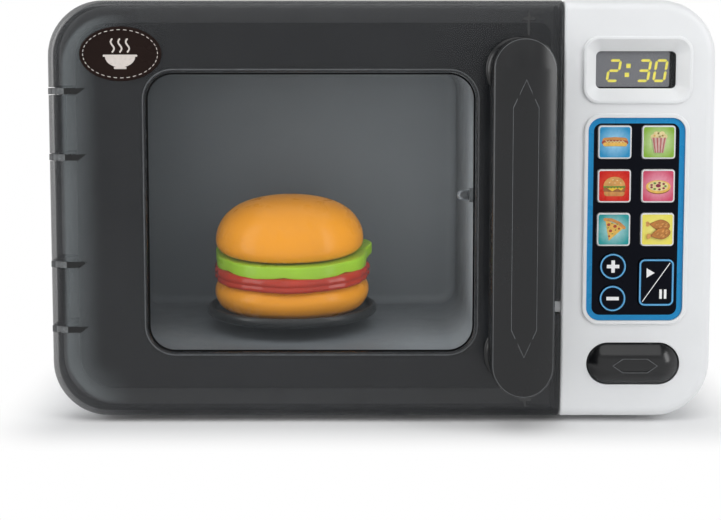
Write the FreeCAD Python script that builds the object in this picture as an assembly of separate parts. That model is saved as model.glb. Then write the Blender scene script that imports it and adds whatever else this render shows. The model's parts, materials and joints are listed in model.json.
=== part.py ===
"""Toy microwave with a hinged smoke-tinted door, a control panel, a driven turntable and a play burger.

Lengths are millimetres. X runs to the right as seen from the front, Y to the back and Z up.
The origin is the middle of the footprint. Depths are measured back from the casing's front face.
"""
import FreeCAD, Part

import math
import os

from FreeCAD import Vector

# Casing
BODY_WIDTH = 320.0
BODY_HEIGHT = 202.0
BODY_DEPTH = 150.0
CORNER_RADIUS = 27.0
FRONT_FILLET = 5.0
REAR_FILLET = 8.0
WALL = 2.4
PARTING_DEPTH = 45.0
PANEL_WIDTH = 73.0
PANEL_EDGE_FILLET = 1.2

# Clearances shared by the fits
OVERRUN = 1.0
SLIP = 0.3
RUNNING = 0.05
ROOT = 0.5
PICK = 0.001

# Feet
FOOT_HEIGHT = 3.0
FOOT_RADIUS = 7.0
FOOT_SIDE_INSET = 42.0
FOOT_FRONT_DEPTH = 32.0
FOOT_BACK_INSET = 20.0

# Case screws
CASE_BOSS_RADIUS = 3.5
CASE_TUBE_RADIUS = 4.5
CASE_TUBE_BORE = 3.2
CASE_SEAT_THICKNESS = 12.0
CASE_SCREW_RADIUS = 1.3
CASE_HEAD_RADIUS = 2.8
CASE_HEAD_HEIGHT = 2.0
CASE_SCREW_GRIP = 14.0
CASE_HOLE_CLEARANCE = 0.3
CASE_SIDE_INSET = 14.0
CASE_LEFT_INSET = 20.0
CASE_END_INSET = 13.0
CASE_PANEL_OFFSET = 27.0

# Door
DOOR_SIDE_GAP = 0.4
DOOR_DEPTH = 16.0
DOOR_BACK_GAP = 1.0
DOOR_WALL = 2.4
DOOR_EDGE_FILLET = 1.2
DOOR_HEEL_FILLET = 2.0

# Door window
WINDOW_RADIUS = 13.2
WINDOW_LEFT_MARGIN = 47.1
WINDOW_BOTTOM_MARGIN = 32.2
WINDOW_TOP_MARGIN = 34.2
WINDOW_HANDLE_GAP = 5.1
WINDOW_EDGE_FILLET = 0.8
PANE_RECESS = 0.7
PANE_GAP = 0.6
PANE_LAP = 4.0
PANE_RIM_THICKNESS = 1.6

# Door badge
BADGE_WIDTH = 39.2
BADGE_HEIGHT = 26.0
BADGE_THICKNESS = 0.8
BADGE_LEFT_MARGIN = 35.7
BADGE_TOP_MARGIN = 25.6
BADGE_EDGE_FILLET = 0.5

# Door handle
HANDLE_WIDTH = 29.2
HANDLE_STANDOFF = 30.0
HANDLE_BAR = 15.0
HANDLE_CROWN = 5.0
HANDLE_BACK_FILLET = 2.0
HANDLE_INSET = 21.6
HANDLE_BOTTOM_MARGIN = 17.6
HANDLE_TOP_MARGIN = 18.4
HANDLE_PAD_LIP = 1.1
HANDLE_PAD_THICKNESS = 2.2
HANDLE_MARK_WIDTH = 11.9
HANDLE_MARK_MARGIN = 19.0
HANDLE_MARK_POINT = 12.8
MARK_LINE = 0.6
MARK_CUT = 0.4
HANDLE_SCREW_RADIUS = 1.4
HANDLE_SCREW_REACH = 12.0
HANDLE_HEAD_RADIUS = 3.2
HANDLE_HEAD_HEIGHT = 2.0
HANDLE_HOLE_CLEARANCE = 0.3

# Hinges
HINGE_INSET = 4.0
HINGE_DEPTH = 9.0
HINGE_SPAN = 31.7
HINGE_END_MARGIN = 59.2
PIN_RADIUS = 1.25
BARREL_RADIUS = 3.4
ARM_THICKNESS = 3.0
ARM_NOSE_RADIUS = 7.2
ARM_SIDE_INSET = 0.2
ARM_WIDTH = 9.3
ARM_SLOT_GAP = 0.4

# Latch
NOTCH_WIDTH = 3.1
NOTCH_GAP = 0.6
TONGUE_HEIGHT = 5.2
TONGUE_BOTTOM_MARGIN = 51.5
TONGUE_REACH = 3.1
TONGUE_FRONT_DEPTH = 3.0
TONGUE_INNER_LENGTH = 3.0
SLIDER_FRONT_DEPTH = 10.8
SLIDER_THICKNESS = 4.0
SLIDER_LEG_WIDTH = 5.0
SLIDER_ARM_HEIGHT = 3.5
FOLLOWER_WIDTH = 10.0
LATCH_SPRING_RADIUS = 2.4
LATCH_SPRING_BORE = 1.7
LATCH_SPRING_LENGTH = 9.0
LATCH_POST_WIDTH = 2.0
LATCH_COVER_THICKNESS = 2.0
LATCH_COVER_MARGIN = 3.0
LATCH_COVER_RADIUS = 3.0
LATCH_GUIDE_HEIGHT = 2.4
LATCH_BOSS_RADIUS = 2.8
LATCH_BOSS_INSET = 6.0
LATCH_COVER_RISE = 7.0
LATCH_SCREW_RADIUS = 1.1
LATCH_HEAD_RADIUS = 2.2
LATCH_HEAD_HEIGHT = 1.5
LATCH_SCREW_GRIP = 7.0

# Release button
BUTTON_WIDTH = 44.6
BUTTON_HEIGHT = 20.1
BUTTON_PROUD = 5.0
BUTTON_CROWN = 4.8
BUTTON_SHELL = 2.2
BUTTON_FLANGE_LAP = 1.5
BUTTON_FLANGE_THICKNESS = 1.5
BUTTON_FLANGE_GAP = 0.4
BUTTON_TRAVEL = 4.0
BUTTON_BOTTOM_MARGIN = 16.7
BUTTON_MARK_WIDTH = 22.0
BUTTON_MARK_HEIGHT = 7.0
BUTTON_MARK_POINT = 5.0
WEDGE_FOOT = 2.0
WEDGE_INSET = 1.2
WEDGE_HEIGHT = 11.0
WEDGE_GAP = 0.4
RELEASE_SPRING_RADIUS = 3.4
RELEASE_SPRING_BORE = 2.5
RELEASE_SPRING_INSET = 7.6

# Control panel column
CONTROL_OFFSET = 35.0

# Display
BEZEL_WIDTH = 52.3
BEZEL_HEIGHT = 32.2
BEZEL_RADIUS = 7.7
BEZEL_PROUD = 1.2
BEZEL_EDGE_FILLET = 0.8
BEZEL_LAP = 1.6
BEZEL_BRIM = 1.5
BEZEL_BACK_DEPTH = 4.4
BEZEL_LIP = 0.8
BEZEL_TOP_MARGIN = 17.1
DISPLAY_WIDTH = 38.5
DISPLAY_HEIGHT = 17.8
DISPLAY_RADIUS = 2.4
LENS_LAP = 1.5
LENS_THICKNESS = 1.0
MODULE_LAP = 1.5
SCREEN_SINK = 1.8

# Keypad
KEYPAD_WIDTH = 46.2
KEYPAD_RADIUS = 6.4
KEYPAD_BOTTOM_MARGIN = 48.1
KEYPAD_DISPLAY_GAP = 6.8
KEYPAD_BORDER = 2.6
KEYPAD_SHELF = 2.0
KEYPAD_RECESS = 2.0
KEYPAD_FIELD_RISE = 1.0
KEYPAD_BORDER_PROUD = 0.2
RIM_WIDTH = 2.2
RIM_PROUD = 1.0
RIM_FILLET = 0.7
PAD_THICKNESS = 2.0

# Keys
KEY_RADIUS = 1.6
KEY_SPACING = 5.0
KEY_SIDE_EDGE = 4.6
KEY_TOP_EDGE = 3.6
KEY_ROW_SHARE = 0.23346
ROUND_KEY_SHARE = 0.17343
ROUND_KEY_SPACING = 2.7
LOWER_KEYS_EDGE = 4.25
START_KEY_EXTRA = 1.4
START_KEY_SHARE = 1.5
START_KEY_RADIUS = 3.0
KEY_PROUD = 0.9
KEY_GAP = 0.3
KEY_FLANGE_LAP = 0.8
KEY_FLANGE_THICKNESS = 1.0
KEY_FLANGE_GAP = 0.15
KEY_STEM_RADIUS = 2.6
KEY_STEM_LENGTH = 1.2
KEY_TRAVEL = 0.8
KEY_DOME_GAP = 0.2
KEY_EDGE_FILLET = 0.4

# Key mat and circuit board
MAT_THICKNESS = 1.0
DOME_RADIUS = 3.4
DOME_HEIGHT = 1.8
MAT_INSET = 2.2
BOARD_THICKNESS = 1.6
BOARD_LEFT_INSET = 1.4
BOARD_RIGHT_LAP = 7.4
BOARD_BOTTOM_LAP = 3.4
BOARD_TOP_LAP = 4.5
BOARD_BOSS_RADIUS = 2.2
BOARD_BOSS_SIDE = 4.8
BOARD_BOSS_LEFT = 7.0
BOARD_BOSS_UP = 4.5
BOARD_BOSS_DOWN = 1.1
BOARD_BOSS_INSET = 10.0
BOARD_SCREW_RADIUS = 0.9
BOARD_HEAD_RADIUS = 1.9
BOARD_HEAD_HEIGHT = 1.3
BOARD_SCREW_GRIP = 4.5

# Oven front frame and liner
OVEN_FRAME_INSET = 10.2
OVEN_FRAME_THICKNESS = 5.0
OVEN_FRAME_FILLET = 4.5
OVEN_FRAME_SIDE_GAP = 1.2
OVEN_FRAME_RIGHT_RADIUS = 6.0
MOUTH_LEFT_LAP = 2.6
MOUTH_RADIUS = 13.0
CAVITY_LEFT_MARGIN = 18.0
CAVITY_RIGHT_LAP = 1.5
CAVITY_FLOOR_DROP = 3.5
CAVITY_CEILING_RISE = 1.2
CAVITY_BACK_INSET = 8.0
CAVITY_RADIUS = 12.0
CAVITY_BACK_FILLET = 5.0
LINER_WALL = 1.6
LINER_RIM = 6.0
LINER_RIM_THICKNESS = 2.0
LINER_SCREW_RADIUS = 1.1
LINER_HEAD_RADIUS = 2.2
LINER_HEAD_HEIGHT = 1.4
LINER_SCREW_INSET = 30.0
LINER_SCREW_GRIP = 1.8

# Cavity lamp
LAMP_RADIUS = 2.5
LAMP_REACH = 8.3
LAMP_TAIL = 5.0
LAMP_DEPTH = 30.0
LAMP_HEIGHT = 77.0
LAMP_HOLDER_RADIUS = 3.7
LAMP_HOLDER_PROUD = 2.0
LAMP_HOLDER_FLANGE = 5.2
LAMP_HOLDER_FLANGE_THICKNESS = 2.0

# Turntable
TURNTABLE_RADIUS = 46.0
TURNTABLE_CLEARANCE = 6.9
TURNTABLE_BASE = 2.4
TURNTABLE_RIM_HEIGHT = 5.0
TURNTABLE_RIM_WIDTH = 2.6
TURNTABLE_RIM_FILLET = 1.1
HUB_RADIUS = 8.0
HUB_FLOOR_GAP = 1.2
SHAFT_RADIUS = 3.0
SHAFT_FLOOR_GAP = 0.6
DRIVE_SQUARE = 4.0
DRIVE_SQUARE_LENGTH = 5.0
DRIVE_FIT = 0.1

# Turntable drive
GEAR_MODULE = 0.8
GEAR_BACKLASH = 0.2
PRESSURE_ANGLE = math.radians(25.0)
ADDENDUM_SHARE = 0.85
DEDENDUM_SHARE = 1.2
FLANK_STEPS = 3
DRIVE_TEETH = 48
IDLER_SMALL_TEETH = 12
IDLER_LARGE_TEETH = 40
PINION_TEETH = 10
DRIVE_GEAR_WIDTH = 4.0
IDLER_GEAR_WIDTH = 2.5
GEAR_LAYER_GAP = 0.5
GEAR_LINER_GAP = 1.2
GEAR_PLATE_GAP = 0.6
GEARBOX_THICKNESS = 2.0
GEARBOX_SIDE_MARGIN = 26.0
GEARBOX_MOTOR_MARGIN = 14.0
GEARBOX_HALF_DEPTH = 25.0
GEARBOX_RADIUS = 4.0
GEARBOX_POST_RADIUS = 3.2
GEARBOX_POST_INSET = 4.5
GEARBOX_SCREW_RADIUS = 1.2
GEARBOX_HEAD_RADIUS = 2.4
GEARBOX_HEAD_HEIGHT = 1.5
GEARBOX_SCREW_GRIP = 6.0
IDLER_AXLE_RADIUS = 1.5
IDLER_AXLE_RISE = 0.4
MOTOR_RADIUS = 11.0
MOTOR_HEIGHT = 11.5
MOTOR_SHAFT_RADIUS = 1.0
MOTOR_SHAFT_DEPTH = 8.0
MOTOR_HOLE_GAP = 0.6

# Loudspeaker
SPEAKER_RADIUS = 16.0
SPEAKER_RIM = 2.5
SPEAKER_RIM_THICKNESS = 2.0
SPEAKER_CONE_DEPTH = 6.0
SPEAKER_BASKET_RADIUS = 9.0
SPEAKER_MAGNET_RADIUS = 8.0
SPEAKER_MAGNET_HEIGHT = 5.0
SPEAKER_CAP_RADIUS = 4.0
SPEAKER_SKIN = 1.0
GRILLE_RADIUS = 13.0
GRILLE_SLOT = 2.2
GRILLE_PITCH = 5.0
GRILLE_SIDE_COUNT = 2

# Batteries
CELL_RADIUS = 7.1
CELL_LENGTH = 49.0
CELL_PITCH = 15.0
CELL_COUNT = 3
CELL_NUB_RADIUS = 2.6
CELL_NUB_LENGTH = 1.4
CONTACT_THICKNESS = 0.5
CONTACT_WIDTH = 9.0
CONTACT_SPRING_RADIUS = 3.0
CONTACT_SPRING_LENGTH = 2.6
BATTERY_WALL = 1.6
BATTERY_CLEARANCE = 0.6
BATTERY_BOTTOM_MARGIN = 44.0
BATTERY_LUG = 9.0
COVER_THICKNESS = 1.6
COVER_LEDGE = 2.5
COVER_GAP = 0.35
COVER_RADIUS = 3.0
COVER_LUG_HOLE = 1.5
COVER_SCREW_RADIUS = 1.2
COVER_HEAD_RADIUS = 2.6
COVER_HEAD_HEIGHT = 0.9
COVER_SCREW_LENGTH = 7.0

# Play burger
BUN_BASE_RADIUS = 42.0
BUN_BASE_FOOT_RADIUS = 35.0
BUN_BASE_TOP_RADIUS = 39.0
BUN_BASE_HEIGHT = 20.0
BUN_BASE_WAIST = 12.5
PATTY_RADIUS = 41.0
PATTY_WAVE = 0.9
PATTY_WAVE_COUNT = 7
PATTY_THICKNESS = 6.0
LETTUCE_RADIUS = 40.5
LETTUCE_WAVE = 2.6
LETTUCE_WAVE_COUNT = 9
LETTUCE_THICKNESS = 6.0
BUN_CROWN_RADIUS = 40.4
BUN_CROWN_FOOT_RADIUS = 37.0
BUN_CROWN_SKIRT = 6.0
BUN_CROWN_DOME = 24.8
BUN_CROWN_SIDE = 16.0
WAVE_STEPS = 6

# Casing planes
LEFT = -BODY_WIDTH / 2
RIGHT = BODY_WIDTH / 2
BOTTOM = FOOT_HEIGHT
TOP = FOOT_HEIGHT + BODY_HEIGHT
FRONT_Y = (HANDLE_STANDOFF - BODY_DEPTH) / 2
PANEL_LEFT = RIGHT - PANEL_WIDTH
DOOR_RIGHT = PANEL_LEFT - DOOR_SIDE_GAP
FRAME_DEPTH = DOOR_DEPTH + DOOR_BACK_GAP
FRAME_BACK = FRAME_DEPTH + WALL
REAR_WALL_FRONT = BODY_DEPTH - WALL

# Window and cavity planes
HANDLE_X = DOOR_RIGHT - HANDLE_INSET
WINDOW_LEFT = LEFT + WINDOW_LEFT_MARGIN
WINDOW_RIGHT = HANDLE_X - HANDLE_WIDTH / 2 - WINDOW_HANDLE_GAP
WINDOW_BOTTOM = BOTTOM + WINDOW_BOTTOM_MARGIN
WINDOW_TOP = TOP - WINDOW_TOP_MARGIN
CAVITY_RIGHT = WINDOW_RIGHT + CAVITY_RIGHT_LAP
CAVITY_LEFT = LEFT + CAVITY_LEFT_MARGIN
CAVITY_FLOOR = WINDOW_BOTTOM - CAVITY_FLOOR_DROP
CAVITY_CEILING = WINDOW_TOP + CAVITY_CEILING_RISE
CAVITY_BACK = BODY_DEPTH - CAVITY_BACK_INSET
LINER_LEFT = CAVITY_LEFT - LINER_WALL
LINER_RIGHT = CAVITY_RIGHT + LINER_WALL
LINER_BOTTOM = CAVITY_FLOOR - LINER_WALL
LINER_TOP = CAVITY_CEILING + LINER_WALL

# Handle, hinge and latch places
HANDLE_BOTTOM = BOTTOM + HANDLE_BOTTOM_MARGIN
HANDLE_TOP = TOP - HANDLE_TOP_MARGIN
POST_HEIGHTS = (HANDLE_BOTTOM + HANDLE_WIDTH / 2, HANDLE_TOP - HANDLE_WIDTH / 2)
HINGE_X = LEFT + HINGE_INSET
HINGE_HEIGHTS = (BOTTOM + HINGE_END_MARGIN, TOP - HINGE_END_MARGIN)
ARM_HEIGHTS = [middle + side * HINGE_SPAN / 2 for middle in HINGE_HEIGHTS for side in (-1, 1)]
ARM_SLOT_REACH = math.sqrt(ARM_NOSE_RADIUS ** 2 - (HINGE_DEPTH - DOOR_WALL) ** 2) + 2 * ARM_SLOT_GAP
TONGUE_BOTTOM = BOTTOM + TONGUE_BOTTOM_MARGIN
TONGUE_TOP = TONGUE_BOTTOM + TONGUE_HEIGHT
TONGUE_LEFT = PANEL_LEFT - TONGUE_REACH
TONGUE_RIGHT = PANEL_LEFT + WALL + TONGUE_INNER_LENGTH
SLIDER_BACK_DEPTH = SLIDER_FRONT_DEPTH + SLIDER_THICKNESS

# Control panel places
CONTROL_X = PANEL_LEFT + CONTROL_OFFSET
BUTTON_BOTTOM = BOTTOM + BUTTON_BOTTOM_MARGIN
BUTTON_Z = BUTTON_BOTTOM + BUTTON_HEIGHT / 2
BUTTON_LEFT = CONTROL_X - BUTTON_WIDTH / 2
BUTTON_RIGHT = CONTROL_X + BUTTON_WIDTH / 2
BUTTON_FLANGE_FRONT = WALL + BUTTON_FLANGE_GAP
BUTTON_FLANGE_BACK = BUTTON_FLANGE_FRONT + BUTTON_FLANGE_THICKNESS
BUTTON_HOLLOW_DEPTH = BUTTON_SHELL - BUTTON_PROUD
WEDGE_LEFT = BUTTON_LEFT + BUTTON_SHELL + WEDGE_INSET
WEDGE_TIP = WEDGE_LEFT + WEDGE_FOOT
WEDGE_BOTTOM = BUTTON_Z - WEDGE_HEIGHT / 2
WEDGE_TOP = BUTTON_Z + WEDGE_HEIGHT / 2
LATCH_COVER_FRONT = SLIDER_BACK_DEPTH + BUTTON_TRAVEL + SLIP
SLIDER_LEG_LEFT = TONGUE_RIGHT - SLIP
SLIDER_LEG_RIGHT = SLIDER_LEG_LEFT + SLIDER_LEG_WIDTH
SLIDER_ARM_TOP = WEDGE_BOTTOM - SLIP
SLIDER_ARM_BOTTOM = SLIDER_ARM_TOP - SLIDER_ARM_HEIGHT
FOLLOWER_RIGHT = WEDGE_TIP + WEDGE_GAP + SLIDER_THICKNESS + FOLLOWER_WIDTH
LATCH_POST_LEFT = FOLLOWER_RIGHT + LATCH_SPRING_LENGTH
LATCH_POST_RIGHT = LATCH_POST_LEFT + LATCH_POST_WIDTH
LATCH_COVER_LEFT = BUTTON_LEFT - LATCH_COVER_MARGIN
LATCH_COVER_RIGHT = BUTTON_RIGHT + BUTTON_FLANGE_LAP + LATCH_COVER_MARGIN + LATCH_BOSS_RADIUS
LATCH_COVER_BOTTOM = SLIDER_ARM_BOTTOM
LATCH_COVER_TOP = BUTTON_BOTTOM + BUTTON_HEIGHT + LATCH_COVER_RISE
LATCH_BOSSES = (
    (LATCH_COVER_RIGHT - LATCH_BOSS_RADIUS, BUTTON_Z),
    (LATCH_COVER_LEFT + LATCH_BOSS_INSET + LATCH_BOSS_RADIUS, LATCH_COVER_TOP - LATCH_BOSS_RADIUS),
)
RELEASE_SPRING_X = BUTTON_RIGHT - RELEASE_SPRING_INSET

# Keypad places
KEYPAD_LEFT = CONTROL_X - KEYPAD_WIDTH / 2
KEYPAD_RIGHT = CONTROL_X + KEYPAD_WIDTH / 2
KEYPAD_BOTTOM = BOTTOM + KEYPAD_BOTTOM_MARGIN
KEYPAD_TOP = TOP - BEZEL_TOP_MARGIN - BEZEL_HEIGHT - KEYPAD_DISPLAY_GAP
PAD_BACK = WALL + PAD_THICKNESS
PLATE_FLANGE_FRONT = KEYPAD_FIELD_RISE
KEY_FLANGE_FRONT = KEYPAD_RECESS + KEY_FLANGE_GAP
KEY_FLANGE_BACK = KEY_FLANGE_FRONT + KEY_FLANGE_THICKNESS
KEY_STEM_BACK = KEY_FLANGE_BACK + KEY_STEM_LENGTH
DOME_FRONT = KEY_STEM_BACK + KEY_TRAVEL + KEY_DOME_GAP
MAT_FRONT = DOME_FRONT + DOME_HEIGHT
BOARD_FRONT = MAT_FRONT + MAT_THICKNESS
BOARD_BACK = BOARD_FRONT + BOARD_THICKNESS

# Key sizes and places
KEYS_HEIGHT = KEYPAD_TOP - KEYPAD_BOTTOM - KEY_TOP_EDGE - LOWER_KEYS_EDGE
KEY_ROW_PITCH = KEYS_HEIGHT * KEY_ROW_SHARE
KEY_HEIGHT = KEY_ROW_PITCH - KEY_SPACING
KEY_WIDTH = (KEYPAD_WIDTH - KEY_SPACING) / 2 - KEY_SIDE_EDGE
LEFT_COLUMN = CONTROL_X - (KEY_WIDTH + KEY_SPACING) / 2
RIGHT_COLUMN = CONTROL_X + (KEY_WIDTH + KEY_SPACING) / 2
TOP_ROW = KEYPAD_TOP - KEY_TOP_EDGE - KEY_HEIGHT / 2
ROUND_KEY_PITCH = KEYS_HEIGHT * ROUND_KEY_SHARE
ROUND_KEY_RADIUS = (ROUND_KEY_PITCH - ROUND_KEY_SPACING) / 2
LOWER_KEYS_Z = KEYPAD_BOTTOM + LOWER_KEYS_EDGE + ROUND_KEY_RADIUS + ROUND_KEY_PITCH / 2
START_KEY_WIDTH = KEY_WIDTH + START_KEY_EXTRA
START_KEY_HEIGHT = ROUND_KEY_PITCH * START_KEY_SHARE

# Display places
BEZEL_Z = TOP - BEZEL_TOP_MARGIN - BEZEL_HEIGHT / 2
LENS_BACK = BEZEL_BACK_DEPTH + LENS_THICKNESS

# Board outline and bosses
BOARD_LEFT = KEYPAD_LEFT + BOARD_LEFT_INSET
BOARD_RIGHT = KEYPAD_RIGHT + BOARD_RIGHT_LAP
BOARD_BOTTOM = KEYPAD_BOTTOM - BOARD_BOTTOM_LAP
BOARD_TOP = BEZEL_Z + DISPLAY_HEIGHT / 2 + BOARD_TOP_LAP
BOARD_BOSSES = (
    (KEYPAD_RIGHT + BOARD_BOSS_SIDE, KEYPAD_BOTTOM + BOARD_BOSS_INSET),
    (KEYPAD_RIGHT + BOARD_BOSS_SIDE, KEYPAD_TOP - BOARD_BOSS_INSET),
    (KEYPAD_LEFT + BOARD_BOSS_LEFT, KEYPAD_TOP + BOARD_BOSS_UP),
    (KEYPAD_LEFT + BOARD_BOSS_LEFT, KEYPAD_BOTTOM - BOARD_BOSS_DOWN),
)

# Case screw places
CASE_COLUMNS = (LEFT + CASE_LEFT_INSET, PANEL_LEFT - CASE_PANEL_OFFSET, RIGHT - CASE_SIDE_INSET)
CASE_ROWS = (BOTTOM + CASE_END_INSET, TOP - CASE_END_INSET)
CASE_BOSSES = [(x, z) for x in CASE_COLUMNS for z in CASE_ROWS]
CASE_HEAD_DEPTH = PARTING_DEPTH + CASE_SEAT_THICKNESS

# Turntable and drive places
TURNTABLE_X = (CAVITY_LEFT + CAVITY_RIGHT) / 2
TURNTABLE_DEPTH = (FRAME_DEPTH + CAVITY_BACK) / 2
TURNTABLE_BOTTOM = CAVITY_FLOOR + TURNTABLE_CLEARANCE
PLATE_FLOOR = TURNTABLE_BOTTOM + TURNTABLE_BASE
HUB_BOTTOM = CAVITY_FLOOR + HUB_FLOOR_GAP
DRIVE_GEAR_TOP = LINER_BOTTOM - GEAR_LINER_GAP
DRIVE_GEAR_BOTTOM = DRIVE_GEAR_TOP - DRIVE_GEAR_WIDTH
IDLER_LARGE_TOP = DRIVE_GEAR_BOTTOM - GEAR_LAYER_GAP
IDLER_LARGE_BOTTOM = IDLER_LARGE_TOP - IDLER_GEAR_WIDTH
GEARBOX_TOP = IDLER_LARGE_BOTTOM - GEAR_PLATE_GAP
GEARBOX_BOTTOM = GEARBOX_TOP - GEARBOX_THICKNESS
IDLER_X = TURNTABLE_X + GEAR_MODULE * (DRIVE_TEETH + IDLER_SMALL_TEETH) / 2
MOTOR_X = IDLER_X + GEAR_MODULE * (IDLER_LARGE_TEETH + PINION_TEETH) / 2
GEARBOX_LEFT = TURNTABLE_X - GEARBOX_SIDE_MARGIN
GEARBOX_RIGHT = MOTOR_X + GEARBOX_MOTOR_MARGIN
GEARBOX_POSTS = [
    (x, TURNTABLE_DEPTH + side * (GEARBOX_HALF_DEPTH - GEARBOX_POST_INSET))
    for x in (GEARBOX_LEFT + GEARBOX_POST_INSET, GEARBOX_RIGHT - GEARBOX_POST_INSET)
    for side in (-1, 1)
]

# Liner screw places
LINER_SCREWS = [
    (x, z)
    for x in (LINER_LEFT + LINER_SCREW_INSET, LINER_RIGHT - LINER_SCREW_INSET)
    for z in (LINER_BOTTOM - LINER_RIM / 2, LINER_TOP + LINER_RIM / 2)
]

# Battery and loudspeaker places
CELL_SPACE = CELL_LENGTH + CELL_NUB_LENGTH + CONTACT_SPRING_LENGTH + 2 * CONTACT_THICKNESS
BATTERY_LEFT = CONTROL_X - CELL_SPACE / 2
BATTERY_RIGHT = CONTROL_X + CELL_SPACE / 2
BATTERY_BOTTOM = BOTTOM + BATTERY_BOTTOM_MARGIN
BATTERY_TOP = BATTERY_BOTTOM + CELL_COUNT * CELL_PITCH
COVER_FRONT = BODY_DEPTH - COVER_THICKNESS
CELL_DEPTH = COVER_FRONT - BATTERY_CLEARANCE - CELL_RADIUS
BATTERY_FLOOR_DEPTH = CELL_DEPTH - CELL_RADIUS - BATTERY_CLEARANCE
BATTERY_FRONT = BATTERY_FLOOR_DEPTH - BATTERY_WALL
CELL_HEIGHTS = [BATTERY_BOTTOM + CELL_PITCH * (row + 1 / 2) for row in range(CELL_COUNT)]
COVER_SCREW_Z = BATTERY_TOP + BATTERY_LUG / 2
COVER_LEFT = BATTERY_LEFT - COVER_LEDGE
COVER_RIGHT = BATTERY_RIGHT + COVER_LEDGE
COVER_BOTTOM = BATTERY_BOTTOM - COVER_LEDGE
COVER_TOP = BATTERY_TOP + BATTERY_LUG
SPEAKER_Z = (COVER_TOP + TOP) / 2

# Burger levels
PATTY_BOTTOM = PLATE_FLOOR + BUN_BASE_HEIGHT
LETTUCE_BOTTOM = PATTY_BOTTOM + PATTY_THICKNESS
CROWN_BOTTOM = LETTUCE_BOTTOM + LETTUCE_THICKNESS


def at(depth):
    """Y of a place this far behind the casing's front face."""
    return FRONT_Y + depth


def rounded_wire(points, radii, place):
    """Closed outline through the points with each corner rounded by its radius."""
    count = len(points)
    edges = []
    ends = []
    for index in range(count):
        corner = Vector(*points[index], 0)
        before = (Vector(*points[index - 1], 0) - corner).normalize()
        after = (Vector(*points[(index + 1) % count], 0) - corner).normalize()
        half = before.getAngle(after) / 2
        reach = radii[index] / math.tan(half)
        start = corner + before * reach
        finish = corner + after * reach
        bisector = (before + after).normalize()
        middle = corner + bisector * (radii[index] / math.sin(half) - radii[index])
        ends.append((start, middle, finish))
    for index in range(count):
        start, middle, finish = ends[index]
        following = ends[(index + 1) % count][0]
        if radii[index] > 0:
            edges.append(Part.Arc(place(start), place(middle), place(finish)).toShape())
        if (following - finish).Length > PICK:
            edges.append(Part.makeLine(place(finish), place(following)))
    return Part.Wire(edges)


def upright(depth):
    """Mapping of a flat outline onto the upright plane at this depth."""
    return lambda point: Vector(point.x, at(depth), point.y)


def level(height):
    """Mapping of a flat outline of X and depth onto the level plane at this height."""
    return lambda point: Vector(point.x, at(point.y), height)


def box_points(left, right, low, high):
    """Corners of a rectangle, from the lower left one."""
    return ((left, low), (right, low), (right, high), (left, high))


def slab(left, right, bottom, top, radii, front, back):
    """Upright plate with rounded corners between two depths."""
    wire = rounded_wire(box_points(left, right, bottom, top), radii, upright(front))
    return Part.Face(wire).extrude(Vector(0, back - front, 0))


def even(radius):
    """The same radius for all four corners."""
    return (radius, radius, radius, radius)


def table(left, right, front, back, radius, low, high):
    """Level plate with rounded corners between two heights."""
    wire = rounded_wire(box_points(left, right, front, back), even(radius), level(low))
    return Part.Face(wire).extrude(Vector(0, 0, high - low))


def block(left, right, front, back, low, high):
    """Plain box between two depths."""
    return Part.makeBox(right - left, back - front, high - low, Vector(left, at(front), low))


def rod_y(x, z, radius, front, back):
    """Round rod along the depth."""
    return Part.makeCylinder(radius, back - front, Vector(x, at(front), z), Vector(0, 1, 0))


def rod_z(x, depth, radius, low, high):
    """Round rod standing up."""
    return Part.makeCylinder(radius, high - low, Vector(x, at(depth), low), Vector(0, 0, 1))


def rod_x(depth, z, radius, left, right):
    """Round rod along the width."""
    return Part.makeCylinder(radius, right - left, Vector(left, at(depth), z), Vector(1, 0, 0))


def polygon_prism(points, place, reach):
    """Straight-sided prism from a flat outline."""
    wire = rounded_wire(points, [0] * len(points), place)
    return Part.Face(wire).extrude(reach)


def at_depth(edge, depth):
    """True for an edge that lies wholly at this depth."""
    box = edge.BoundBox
    return abs(box.YMin - at(depth)) < PICK and abs(box.YMax - at(depth)) < PICK


def at_height(edge, height):
    """True for an edge that lies wholly at this height."""
    box = edge.BoundBox
    return abs(box.ZMin - height) < PICK and abs(box.ZMax - height) < PICK


def soften(shape, radius, chosen):
    """Rounds the edges that the test picks."""
    return shape.makeFillet(radius, [edge for edge in shape.Edges if chosen(edge)])


def joined(first, others):
    """First shape with the others fused on, as one clean solid."""
    return first.fuse(list(others)).removeSplitter()


def screw_y(x, z, head_front, head_radius, head_height, shank_radius, tip):
    """Screw along the depth, driven from the back, with its tip to the front."""
    shank = rod_y(x, z, shank_radius, tip, head_front)
    return joined(shank, [rod_y(x, z, head_radius, head_front, head_front + head_height)])


def revolved(profile, x, depth):
    """Solid of revolution about the upright line at this place."""
    return Part.Face(Part.Wire(profile)).revolve(Vector(x, at(depth), 0), Vector(0, 0, 1), 360)


def hexagon(x, z, half_width, half_height, point, along_z):
    """Long hexagon with its points along Z or along X."""
    shoulder = half_height - point
    if along_z:
        return (
            (x, z - half_height),
            (x + half_width, z - shoulder),
            (x + half_width, z + shoulder),
            (x, z + half_height),
            (x - half_width, z + shoulder),
            (x - half_width, z - shoulder),
        )
    return [(x + rise - z, z + run - x) for run, rise in hexagon(x, z, half_width, half_height, point, True)]


def mark_groove(x, z, half_width, half_height, point, along_z, front):
    """Thin groove along the outline of a long hexagon."""
    reach = Vector(0, MARK_CUT + OVERRUN, 0)
    place = upright(front - OVERRUN)
    outer = polygon_prism(hexagon(x, z, half_width, half_height, point, along_z), place, reach)
    inner_points = hexagon(
        x, z, half_width - MARK_LINE, half_height - 2 * MARK_LINE, point - MARK_LINE, along_z
    )
    return outer.cut(polygon_prism(inner_points, place, reach))


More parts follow.
